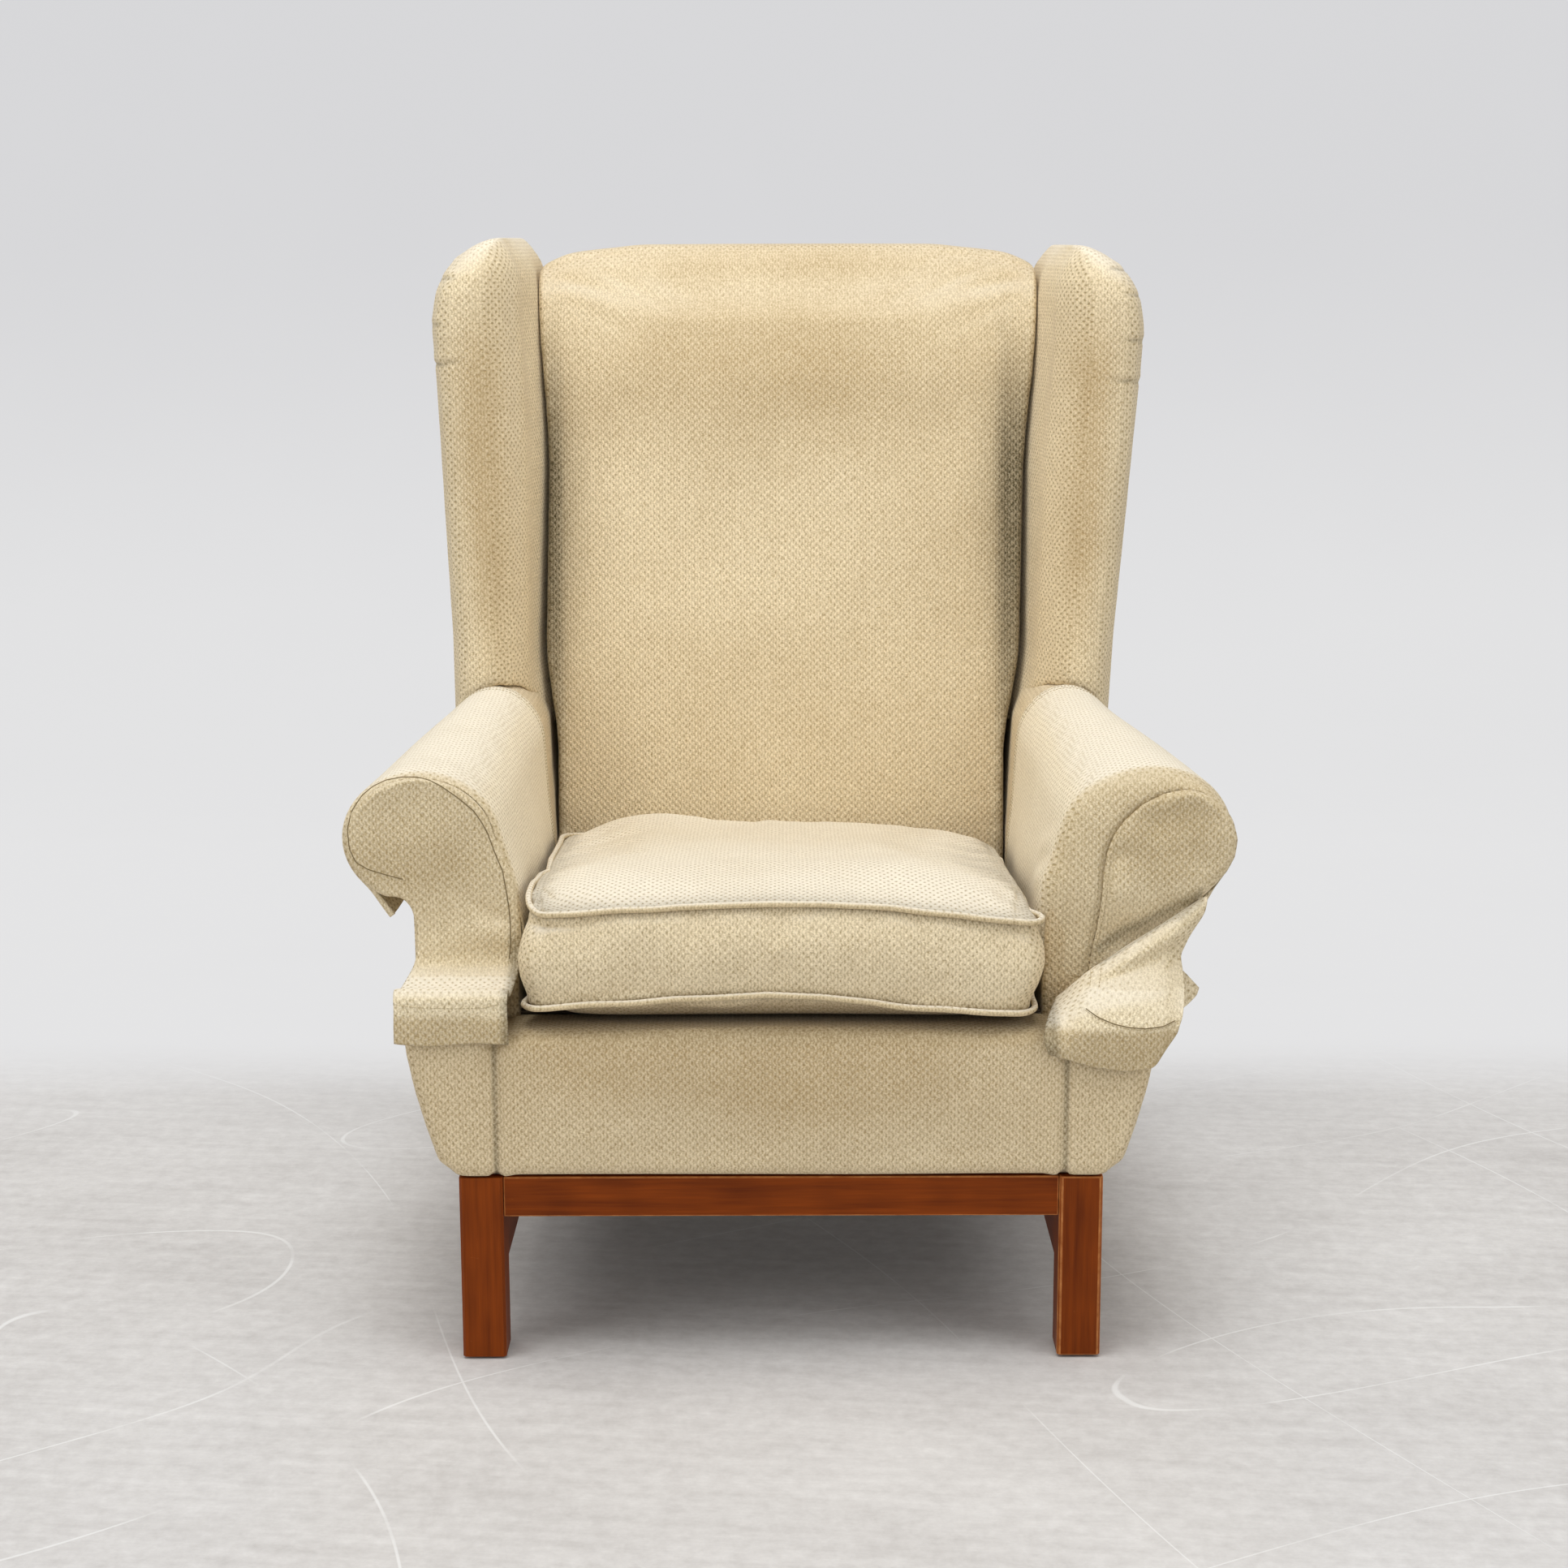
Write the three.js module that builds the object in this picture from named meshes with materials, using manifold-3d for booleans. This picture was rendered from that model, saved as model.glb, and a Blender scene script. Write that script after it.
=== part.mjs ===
// A wingback armchair, in millimetres. X points right as seen from the front, Y to the back, Z up,
// and the floor is at Z = 0. Left and right are as seen from the front.
import * as THREE from "three";
import { LoftGeometry } from "three/addons/geometries/LoftGeometry.js";
import { mergeVertices } from "three/addons/utils/BufferGeometryUtils.js";
import Module from "manifold-3d";

const wasm = await Module();
wasm.setup();

// Clearances, cloth and how far a cutting solid runs past what it cuts
const GAP = 0.3;
const CLOTH = 3;
const OVERRUN = 12;
const WELD = 1e-3;

// Overall: half the body's width at the ledge, the height of the back, of the legs and the front face
const BODY_HALF = 348;
const BACK_TOP = 1038;
const LEG_HEIGHT = 180;
const FRONT_FACE = -410;

// Underframe: square beech legs, rails between them and a stretcher at each side
const BODY_FLARE = 31;
const BOTTOM_HALF = BODY_HALF - BODY_FLARE;
const LEG_WIDTH = 41;
const LEG_DEPTH = 45;
const LEG_SETBACK = 15;
const LEG_OUTER = BOTTOM_HALF - LEG_SETBACK;
const LEG_CHAMFER = 2.5;
const FRONT_LEG_SETBACK = 5;
const FRONT_LEG_FACE = FRONT_FACE + FRONT_LEG_SETBACK;
const REAR_LEG_RAKE = 72;
const REAR_LEG_FOOT_WIDTH = 35;
const REAR_LEG_FOOT_DEPTH = 36;
const GLIDE_RADIUS = 12;
const GLIDE_HEIGHT = 2.5;
const BASE_RAIL_HEIGHT = 39;
const BASE_RAIL_THICK = 25;
const BASE_RAIL_SETBACK = 3;
const STRETCHER_BOTTOM = 79;
const STRETCHER_HEIGHT = 39;
const STRETCHER_THICK = 22;

// Seat frame
const RAIL_THICK = 25;
const RAIL_SETBACK = 7;
const RAIL_OUTER = BOTTOM_HALF - RAIL_SETBACK;
const REAR_RAIL_DROP = 51;
const FRONT_RAIL_SETBACK = 25;
const FRONT_RAIL_FACE = FRONT_FACE + FRONT_RAIL_SETBACK;
const BLOCK_LEG = 70;
const BLOCK_HEIGHT = 60;
const SPRING_WIRE_RADIUS = 2;
const SPRING_SWING = 21;
const SPRING_BOWS = 9;
const SPRINGS = 5;

// Seat upholstery: a box at each side of the front border, with a lower apron between them
const LEDGE_DEPTH = 80;
const ARM_FRONT = FRONT_FACE + LEDGE_DEPTH;
const BOX_HEIGHT = 167;
const BOX_TOP = LEG_HEIGHT + BOX_HEIGHT;
const BOX_OVERHANG = 5;
const BOX_TOP_HALF = BODY_HALF + BOX_OVERHANG;
const BOX_WIDTH = 88;
const BOX_SEAM = BOX_TOP_HALF - BOX_WIDTH;
const APRON_DROP = 21;
const APRON_TOP = BOX_TOP - APRON_DROP;
const RAIL_DROP = 36;
const RAIL_TOP = APRON_TOP - RAIL_DROP;
const APRON_SEAM_DROP = 12;
const BORDER_ROUND = 14;
const SEAM_GROOVE = 2;
const SEAT_SLOPE_SHARE = 0.0875;
const DECK_CLOTH = 2;
const DUST_COVER = 1.2;

// Back: its front face, its lean and its thickness to the outside back
const BACK_FRONT = 120;
const BACK_FRONT_LEVEL = 380;
const BACK_LEAN_SHARE = 0.153;
const BACK_THICK = 155;
const BACK_CORNER_DROP = 25;
const BACK_CROWN = 16;
const BACK_TOP_ROUND = 62;
const POST_SETBACK = 68;
const POST_INNER = BODY_HALF - POST_SETBACK;
const POST_WIDTH = 33;
const POST_DEPTH = 40;
const POST_DROP = 38;
const POST_TOP = BACK_TOP - POST_DROP;
const FRAME_SETBACK = 8;
const BACK_RAIL_THICK = 28;
const BACK_RAIL_HEIGHT = 50;
const LOWER_RAIL_RISE = 40;
const LOWER_RAIL_BOTTOM = RAIL_TOP + LOWER_RAIL_RISE;
const WEB_WIDTH = 60;
const WEB_THICK = 1.5;
const WEB_SPREAD = 110;

// Arms: a scroll on a stem, wide in front and narrow where it meets the wing
const ARM_THICK = 100;
const ARM_INNER = BODY_HALF - ARM_THICK;
const SPRING_EDGE = 8;
const SPRING_PITCH = (ARM_INNER - SPRING_EDGE) * 2 / SPRINGS;
const SCROLL_HEIGHT = 140;
const SCROLL_LEVEL = BOX_TOP + SCROLL_HEIGHT;
const SCROLL_OVERHANG = 65;
const SCROLL_OUTER = BODY_HALF + SCROLL_OVERHANG;
const SCROLL_INSET = 19;
const SCROLL_HALF_WIDTH = (SCROLL_OUTER - ARM_INNER - SCROLL_INSET) / 2;
const SCROLL_HALF_HEIGHT = 62;
const SCROLL_CLEARANCE = 2.4;
const ARM_RISE = 24;
const ARM_REAR_OVERHANG = 5;
const ARM_REAR_OUTER = BODY_HALF + ARM_REAR_OVERHANG;
const ARM_REAR_INSET = 7;
const ARM_REAR_HALF_WIDTH = (ARM_REAR_OUTER - ARM_INNER - ARM_REAR_INSET) / 2;
const NECK_DROP = 47;
const ARM_NECK_LEVEL = SCROLL_LEVEL - NECK_DROP;
const ARM_EDGE_ROUND = 4;
const ARM_FOAM = 28;
const FACING_FOAM = 6;
const BOARD_THICK = 22;
const ARM_BOARD_SETBACK = 42;
const ARM_BOARD_INNER = ARM_INNER + ARM_BOARD_SETBACK;
const ARM_BOARD_WIDTH = 45;
const ARM_BOARD_DROP = 25;
const ARM_BOARD_BOTTOM = SCROLL_LEVEL - ARM_BOARD_DROP;

// Wings
const WING_FRONT = 40;
const WING_LEAN_SHARE = 0.047;
const WING_RISE = 5;
const WING_TOP = BACK_TOP + WING_RISE;
const WING_PEAK_OFFSET = 56;
const WING_PEAK = ARM_INNER + WING_PEAK_OFFSET;
const WING_FLARE = 26;
const WING_OUTER = ARM_REAR_OUTER + WING_FLARE;
const WING_OUTER_ROUND = 89;
const WING_OUTER_SHOULDER = WING_TOP - WING_OUTER_ROUND;
const WING_INNER_ROUND = 58;
const WING_INNER_SHOULDER = WING_TOP - WING_INNER_ROUND;
const WING_EDGE_DEPTH = 150;
const WING_BOARD_THICK = 18;
const WING_BOARD_COVERED = 34;
const WING_BOARD_DROP = 43;
const WING_BOARD_TOP = WING_TOP - WING_BOARD_DROP;

// Loose arm covers: their hems, and the folds and creases of each side
const CAP_EASE = 0.6;
const CAP_CLOTH = 2.4;
const CAP_INNER_LIFT = 9;
const CAP_INNER_HEM = BOX_TOP + CAP_INNER_LIFT;
const CAP_OUTER_DROP = 44;
const CAP_OUTER_HEM = SCROLL_LEVEL - CAP_OUTER_DROP;
const CAP_FRONT_DROP = 34;
const CAP_FRONT_HEM = BOX_TOP - CAP_FRONT_DROP;
const CAP_REAR_CLEARANCE = 2;
const CAP_LEDGE_OVERHANG = 4;
const CAP_FOLD = { left: 2.5, right: 6 };
const CAP_FOLDS = { left: 3, right: 2 };
const CAP_DROOP = { left: 4, right: 10 };
const CREASE_HALF_WIDTH = { left: 7, right: 12 };
const CREASE_RISE = { left: 2.5, right: 5 };

// Seat cushion: the boxing stands between two welts, with a crown above and below
const CUSHION_OVERHANG = 2;
const CUSHION_FRONT = FRONT_FACE - CUSHION_OVERHANG;
const CUSHION_SIDE_EASE = 8;
const CUSHION_FRONT_HALF = ARM_INNER - CUSHION_SIDE_EASE;
const CUSHION_TAPER = 4;
const CUSHION_REAR_HALF = CUSHION_FRONT_HALF - CUSHION_TAPER;
const CUSHION_BOXING = 95;
const CUSHION_TOP_CROWN = 28;
const CUSHION_BOTTOM_CROWN = 25;
const CUSHION_BULGE = 7;
const CUSHION_DRAW_IN = 5;
const CUSHION_BACK_EASE = 4;
const CUSHION_CLOTH = 2.5;
const CUSHION_SQUARENESS = 9;
const WELT_RADIUS = 3.2;
const ZIP_LENGTH = 300;
const ZIP_WIDTH = 8;

// Colours, roughness and metalness
const MATERIALS = {
  cloth: { color: 0xdccfb0, roughness: 0.95, metalness: 0 },
  loose: { color: 0xe6dcc0, roughness: 0.95, metalness: 0 },
  foam: { color: 0xefe6c4, roughness: 1, metalness: 0 },
  frame: { color: 0xcfae7c, roughness: 0.8, metalness: 0 },
  beech: { color: 0x7d3f1f, roughness: 0.55, metalness: 0 },
  steel: { color: 0x8d9094, roughness: 0.4, metalness: 1 },
  lining: { color: 0x2b2a2c, roughness: 1, metalness: 0 },
  web: { color: 0xa9a08c, roughness: 0.9, metalness: 0 },
  tape: { color: 0xc8bda2, roughness: 0.8, metalness: 0 },
};

const SIDES = { left: -1, right: 1 };
const chair = new THREE.Group();

// Small helpers

const mix = (from, to, share) => from + (to - from) * share;
const clamp01 = (value) => Math.min(1, Math.max(0, value));
const ordered = (a, b) => (a < b ? [a, b] : [b, a]);
const span = (from, to, count) => Array.from({ length: count }, (_, i) => mix(from, to, i / (count - 1)));
const angles = (count) => Array.from({ length: count }, (_, i) => (i / count) * 2 * Math.PI);

// One closed geometry as a solid whose faces point out.
function solidOf(geometry) {
  const bare = new THREE.BufferGeometry().copy(geometry);
  bare.deleteAttribute("normal");
  bare.deleteAttribute("uv");
  const merged = mergeVertices(bare, WELD);
  const vertProperties = Float32Array.from(merged.getAttribute("position").array);
  const triVerts = Uint32Array.from(merged.index.array);
  const made = new wasm.Manifold(new wasm.Mesh({ numProp: 3, vertProperties, triVerts }));
  if (made.volume() >= 0) return made;
  for (let i = 0; i < triVerts.length; i += 3) {
    [triVerts[i + 1], triVerts[i + 2]] = [triVerts[i + 2], triVerts[i + 1]];
  }
  return new wasm.Manifold(new wasm.Mesh({ numProp: 3, vertProperties, triVerts }));
}

// A closed skin over sections in a row. They are turned round where they wind the wrong way for it.
function loft(sections) {
  const normal = new THREE.Vector3();
  const ahead = new THREE.Vector3();
  const [first, second] = sections;
  first.forEach((p, i) => {
    const q = first[(i + 1) % first.length];
    normal.x += (p.y - q.y) * (p.z + q.z);
    normal.y += (p.z - q.z) * (p.x + q.x);
    normal.z += (p.x - q.x) * (p.y + q.y);
    ahead.add(second[i]).sub(p);
  });
  const wound = normal.dot(ahead) > 0 ? sections : sections.map((section) => [...section].reverse());
  return solidOf(new LoftGeometry(wound, { capStart: true, capEnd: true }));
}

// The two sections of a flat outline between two depths. place turns (a, b, depth) into a point.
const slab = (outline, from, to, place) =>
  loft([from, to].map((depth) => outline.map(([a, b]) => place(a, b, depth))));

const alongX = (y, z, x) => new THREE.Vector3(x, y, z);
const alongY = (x, z, y) => new THREE.Vector3(x, y, z);

function block(x0, x1, y0, y1, z0, z1) {
  const geometry = new THREE.BoxGeometry(x1 - x0, y1 - y0, z1 - z0);
  geometry.translate((x0 + x1) / 2, (y0 + y1) / 2, (z0 + z1) / 2);
  return solidOf(geometry);
}

// A closed outline moved outwards by a distance, or inwards by a negative one.
function grown(outline, by) {
  const count = outline.length;
  const doubleArea = outline.reduce((sum, [a, b], i) => {
    const [c, d] = outline[(i + 1) % count];
    return sum + a * d - c * b;
  }, 0);
  const turn = Math.sign(doubleArea);
  const normal = ([a, b], [c, d]) => {
    const length = Math.hypot(c - a, d - b);
    return [(turn * (d - b)) / length, (turn * (a - c)) / length];
  };
  return outline.map((point, i) => {
    const [n0, m0] = normal(outline[(i + count - 1) % count], point);
    const [n1, m1] = normal(point, outline[(i + 1) % count]);
    const reach = by / Math.max(0.5, 1 + n0 * n1 + m0 * m1);
    return [point[0] + (n0 + n1) * reach, point[1] + (m0 + m1) * reach];
  });
}

// A strip of even thickness along a path, as a closed outline.
function ribbon(path, thickness) {
  const shifted = path.map(([a, b], i) => {
    const [c, d] = path[Math.max(0, i - 1)];
    const [e, f] = path[Math.min(path.length - 1, i + 1)];
    const length = Math.hypot(e - c, f - d);
    return [a + ((f - d) / length) * thickness, b - ((e - c) / length) * thickness];
  });
  return [...path, ...shifted.reverse()];
}

function cut(solid, ...tools) {
  return tools.reduce((left, tool) => left.subtract(tool), solid);
}

function join(first, ...others) {
  return others.reduce((sum, solid) => sum.add(solid), first);
}

function addPiece(name, solid, material, parent = chair) {
  const { numProp, vertProperties, triVerts, numVert } = solid.getMesh();
  const positions = new Float32Array(numVert * 3);
  for (let i = 0; i < numVert; i += 1) {
    positions.set(vertProperties.subarray(i * numProp, i * numProp + 3), i * 3);
  }
  const geometry = new THREE.BufferGeometry();
  geometry.setAttribute("position", new THREE.BufferAttribute(positions, 3));
  geometry.setIndex(new THREE.BufferAttribute(triVerts, 1));
  geometry.computeVertexNormals();
  const mesh = new THREE.Mesh(geometry, new THREE.MeshStandardMaterial(MATERIALS[material]));
  mesh.name = name;
  parent.add(mesh);
  return mesh;
}

// Surfaces that several pieces share

const backFront = (z) => BACK_FRONT + BACK_LEAN_SHARE * (z - BACK_FRONT_LEVEL);
const backRear = (z) => backFront(z) + BACK_THICK;
const frameRear = (z) => backRear(z) - FRAME_SETBACK;
const deckLevel = (y) => APRON_TOP - SEAT_SLOPE_SHARE * (y - FRONT_FACE);
const frameBottom = LEG_HEIGHT + GAP;
const rearRailFace = frameRear(LEG_HEIGHT) - POST_DEPTH + FRAME_SETBACK;
const rearRailTop = RAIL_TOP - REAR_RAIL_DROP;

// The body flares from the top of the legs to the ledge: this is the share of its flare at a height.
function flareShare(z) {
  const share = clamp01((z - LEG_HEIGHT) / BOX_HEIGHT);
  return Math.sin((share * Math.PI) / 2);
}
const bodyHalf = (z) => mix(BOTTOM_HALF, BODY_HALF, flareShare(z));
const boxHalf = (z) => mix(BOTTOM_HALF, BOX_TOP_HALF, flareShare(z));

// All that lies behind the inside of the outside back, for cutting pieces off there.
function behindBack(clearance) {
  const far = backRear(WING_TOP) + BACK_THICK;
  const low = -OVERRUN;
  const high = WING_TOP + OVERRUN;
  const outline = [
    [backRear(low) - clearance, low],
    [far, low],
    [far, high],
    [backRear(high) - clearance, high],
  ];
  const half = SCROLL_OUTER + OVERRUN;
  return slab(outline, -half, half, alongX);
}
const pastBack = behindBack(CLOTH + GAP);

// Underframe

function squareSection(x, y, width, depth, z) {
  const c = LEG_CHAMFER;
  const w = width / 2;
  const d = depth / 2;
  const right = [
    [w - c, -d],
    [w, c - d],
    [w, d - c],
    [w - c, d],
  ];
  const outline = [...right, ...right.map(([a, b]) => [-a, b]).reverse()];
  return outline.map(([a, b]) => new THREE.Vector3(x + a, y + b, z));
}

const frontLegCentre = FRONT_LEG_FACE + LEG_DEPTH / 2;
const rearLegTopCentre = backRear(LEG_HEIGHT) - CLOTH - LEG_DEPTH / 2;
const legCentre = LEG_OUTER - LEG_WIDTH / 2;
const rearLegFace = (z) => {
  const share = (LEG_HEIGHT - z) / (LEG_HEIGHT - GLIDE_HEIGHT);
  return rearLegTopCentre + REAR_LEG_RAKE * share - mix(LEG_DEPTH, REAR_LEG_FOOT_DEPTH, share) / 2;
};

function glide(x, y) {
  const disc = new THREE.CylinderGeometry(GLIDE_RADIUS, GLIDE_RADIUS, GLIDE_HEIGHT * 2, 20);
  disc.rotateX(Math.PI / 2);
  disc.translate(x, y, GLIDE_HEIGHT);
  return solidOf(disc);
}

// Each leg is one solid with the nail-on glide under its foot.
function buildLegs() {
  for (const [sideName, side] of Object.entries(SIDES)) {
    const x = side * legCentre;
    const front = loft([
      squareSection(x, frontLegCentre, LEG_WIDTH, LEG_DEPTH, GLIDE_HEIGHT),
      squareSection(x, frontLegCentre, LEG_WIDTH, LEG_DEPTH, LEG_HEIGHT),
    ]);
    addPiece(`leg_front_${sideName}`, join(front, glide(x, frontLegCentre)), "beech");
    const footY = rearLegTopCentre + REAR_LEG_RAKE;
    const rear = loft([
      squareSection(x, footY, REAR_LEG_FOOT_WIDTH, REAR_LEG_FOOT_DEPTH, GLIDE_HEIGHT),
      squareSection(x, rearLegTopCentre, LEG_WIDTH, LEG_DEPTH, LEG_HEIGHT),
    ]);
    addPiece(`leg_rear_${sideName}`, join(rear, glide(x, footY)), "beech");
  }
}

function buildBaseRails() {
  const half = LEG_OUTER - LEG_WIDTH - GAP;
  const bottom = LEG_HEIGHT - BASE_RAIL_HEIGHT;
  const frontFace = FRONT_LEG_FACE + BASE_RAIL_SETBACK;
  const rearFace = rearLegTopCentre + LEG_DEPTH / 2 - BASE_RAIL_SETBACK;
  const front = block(-half, half, frontFace, frontFace + BASE_RAIL_THICK, bottom, LEG_HEIGHT);
  addPiece("base_rail_front", front, "beech");
  const rear = block(-half, half, rearFace - BASE_RAIL_THICK, rearFace, bottom, LEG_HEIGHT);
  addPiece("base_rail_rear", rear, "beech");
}

function buildStretchers() {
  const start = FRONT_LEG_FACE + LEG_DEPTH + GAP;
  const top = STRETCHER_BOTTOM + STRETCHER_HEIGHT;
  const outline = [
    [start, STRETCHER_BOTTOM],
    [rearLegFace(STRETCHER_BOTTOM) - GAP, STRETCHER_BOTTOM],
    [rearLegFace(top) - GAP, top],
    [start, top],
  ];
  const inner = LEG_OUTER - LEG_WIDTH + LEG_CHAMFER;
  for (const [sideName, side] of Object.entries(SIDES)) {
    const solid = slab(outline, side * inner, side * (inner + STRETCHER_THICK), alongX);
    addPiece(`base_stretcher_${sideName}`, solid, "beech");
  }
}

// Seat frame

const railInner = RAIL_OUTER - RAIL_THICK;
const frontRailBack = FRONT_RAIL_FACE + RAIL_THICK;
const rearRailFront = rearRailFace - RAIL_THICK;

function buildSeatRails() {
  const front = block(-RAIL_OUTER, RAIL_OUTER, FRONT_RAIL_FACE, frontRailBack, frameBottom, RAIL_TOP);
  addPiece("seat_rail_front", front, "frame");
  const rearHalf = railInner - GAP;
  const rear = block(-rearHalf, rearHalf, rearRailFront, rearRailFace, frameBottom, rearRailTop);
  addPiece("seat_rail_rear", rear, "frame");
  for (const [sideName, side] of Object.entries(SIDES)) {
    const [low, high] = ordered(side * railInner, side * RAIL_OUTER);
    const rail = block(low, high, frontRailBack + GAP, rearRailFace, frameBottom, RAIL_TOP);
    addPiece(`seat_rail_${sideName}`, rail, "frame");
  }
}

// Triangular blocks glued into the corners of the seat frame.
function buildCornerBlocks() {
  const corner = railInner - GAP;
  for (const [sideName, side] of Object.entries(SIDES)) {
    for (const [endName, y, inwards] of [
      ["front", frontRailBack + GAP, 1],
      ["rear", rearRailFront - GAP, -1],
    ]) {
      const outline = [
        [side * corner, y],
        [side * (corner - BLOCK_LEG), y],
        [side * (corner - BLOCK_LEG), y + (inwards * BLOCK_LEG) / 4],
        [side * (corner - BLOCK_LEG / 4), y + inwards * BLOCK_LEG],
        [side * corner, y + inwards * BLOCK_LEG],
      ];
      const low = frameBottom + DUST_COVER;
      const solid = slab(outline, low, low + BLOCK_HEIGHT / 2, (a, b, z) => new THREE.Vector3(a, b, z));
      addPiece(`corner_block_${endName}_${sideName}`, solid, "frame");
    }
  }
}

// Height of a spring's wire: level over each rail and straight between them.
const wireRise = GAP + SPRING_WIRE_RADIUS * Math.SQRT2;
function springLevel(y) {
  const share = clamp01((y - frontRailBack - OVERRUN / 2) / (rearRailFront - frontRailBack - OVERRUN));
  return mix(RAIL_TOP, rearRailTop, share) + wireRise;
}

// Sinuous springs: each is one bent wire that bows from side to side from the front rail to the rear rail.
function buildSprings() {
  const start = FRONT_RAIL_FACE + RAIL_THICK / 4;
  const end = rearRailFace - RAIL_THICK / 4;
  const steps = SPRING_BOWS * 8;
  const r = SPRING_WIRE_RADIUS;
  const wire = new THREE.Shape([
    new THREE.Vector2(r, r),
    new THREE.Vector2(-r, r),
    new THREE.Vector2(-r, -r),
    new THREE.Vector2(r, -r),
  ]);
  for (let n = 0; n < SPRINGS; n += 1) {
    const centre = (n - (SPRINGS - 1) / 2) * SPRING_PITCH;
    const points = span(0, 1, steps + 1).map((share) => {
      const y = mix(start, end, share);
      const swing = SPRING_SWING * Math.sin(share * SPRING_BOWS * 2 * Math.PI);
      return new THREE.Vector3(centre + swing, y, springLevel(y));
    });
    const path = new THREE.CatmullRomCurve3(points);
    const wireGeometry = new THREE.ExtrudeGeometry(wire, { steps, extrudePath: path });
    addPiece(`seat_spring_${n + 1}`, solidOf(wireGeometry), "steel");
  }
}

function buildDeck() {
  const half = ARM_INNER - GAP;
  const front = ARM_FRONT;
  const rear = rearRailFace;
  const clothTop = (y) => deckLevel(y);
  const padTop = (y) => deckLevel(y) - DECK_CLOTH - GAP;
  const padBottom = (y) => springLevel(y) + wireRise;
  const clothOutline = [
    [front, clothTop(front)],
    [rear, clothTop(rear)],
    [rear, clothTop(rear) - DECK_CLOTH],
    [front, clothTop(front) - DECK_CLOTH],
  ];
  addPiece("deck_cloth", slab(clothOutline, -half, half, alongX), "cloth");
  const padOutline = [
    [front, padTop(front)],
    [rear, padTop(rear)],
    [rear, padBottom(rear)],
    [rearRailFront, padBottom(rearRailFront)],
    [front, padBottom(front)],
  ];
  addPiece("deck_pad", slab(padOutline, -half, half, alongX), "foam");
}

// The front border in front view: side boxes up to the ledge and the lower apron between them.
function borderOutline() {
  const boxSteps = span(LEG_HEIGHT + BORDER_ROUND, BOX_TOP - BORDER_ROUND, 5);
  const right = [
    [BOX_SEAM, frameBottom],
    [BOTTOM_HALF - BORDER_ROUND, frameBottom],
    ...boxSteps.map((z) => [boxHalf(z), z]),
    [BOX_TOP_HALF - BORDER_ROUND, BOX_TOP],
    [BOX_SEAM + BORDER_ROUND, BOX_TOP],
    [BOX_SEAM, BOX_TOP - BORDER_ROUND],
    [BOX_SEAM - GAP, APRON_TOP - APRON_SEAM_DROP],
    [BOX_SEAM - BORDER_ROUND * 2, APRON_TOP - APRON_SEAM_DROP / 3],
  ];
  const left = right.map(([x, z]) => [-x, z]).reverse();
  return [...right, [0, APRON_TOP], ...left];
}

// The border's rounded front edge: shares of the rounding in depth, and how much is drawn in there.
const BORDER_EDGE_SHARES = [
  [0, 0.8],
  [0.25, 0.35],
  [1, 0],
];

function borderEnvelope(inset, rear) {
  const outline = borderOutline();
  const rounded = BORDER_EDGE_SHARES.map(([back, drawn]) => {
    const depth = FRONT_FACE + BORDER_ROUND * back + inset;
    return grown(outline, -BORDER_ROUND * drawn - inset).map(([x, z]) => alongY(x, z, depth));
  });
  return loft([...rounded, grown(outline, -inset).map(([x, z]) => alongY(x, z, rear))]);
}

// All that lies above the deck between the side boxes.
function aboveDeck(drop) {
  const [front, rear] = [FRONT_FACE - OVERRUN, ARM_FRONT + OVERRUN * 2];
  const outline = [
    [front, deckLevel(front) - drop],
    [rear, deckLevel(rear) - drop],
    [rear, BOX_TOP + OVERRUN],
    [front, BOX_TOP + OVERRUN],
  ];
  const half = BOX_SEAM - GAP + drop;
  return slab(outline, -half, half, alongX);
}

function buildFrontBorder() {
  const rear = ARM_FRONT - GAP;
  const [face, far] = [FRONT_RAIL_FACE - GAP, rear + OVERRUN];
  const frameHalf = RAIL_OUTER + GAP;
  const frameRoom = block(-frameHalf, frameHalf, face, far, 0, RAIL_TOP + GAP);
  const springTop = springLevel(FRONT_RAIL_FACE) + wireRise;
  const springRoom = block(-railInner, railInner, face, far, 0, springTop);
  const outside = cut(borderEnvelope(0, rear), aboveDeck(0));
  const inside = cut(borderEnvelope(CLOTH, rear + OVERRUN), aboveDeck(CLOTH));
  const cover = cut(outside, inside, frameRoom, springRoom);
  const grooves = Object.values(SIDES).map((side) => {
    const x = side * BOX_SEAM;
    const [near, deep] = [FRONT_FACE - OVERRUN, FRONT_FACE + SEAM_GROOVE];
    return block(x - SEAM_GROOVE / 2, x + SEAM_GROOVE / 2, near, deep, 0, BOX_TOP);
  });
  addPiece("front_border_cover", cut(cover, ...grooves), "cloth");
  const pad = cut(borderEnvelope(CLOTH + GAP, rear), aboveDeck(CLOTH + GAP), frameRoom, springRoom);
  addPiece("front_border_pad", pad, "foam");
}

function buildDustCover() {
  const half = RAIL_OUTER - SEAM_GROOVE;
  const front = FRONT_LEG_FACE + LEG_DEPTH + GAP;
  const rear = rearLegTopCentre - LEG_DEPTH / 2 - GAP;
  addPiece("dust_cover", block(-half, half, front, rear, LEG_HEIGHT - DUST_COVER, LEG_HEIGHT), "lining");
}

// Arms

// Where a place along the arm lies between its front (0) and the wing (1).
const armShare = (y) => clamp01((y - ARM_FRONT) / (WING_FRONT - ARM_FRONT));
const stemOuter = BODY_HALF - CLOTH - GAP;
const SCROLL_ANGLE_SHARES = [0.92, 0.78, 0.64, 0.5, 0.36, 0.22, 0.08, -0.06, -0.19, -0.31];

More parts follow.
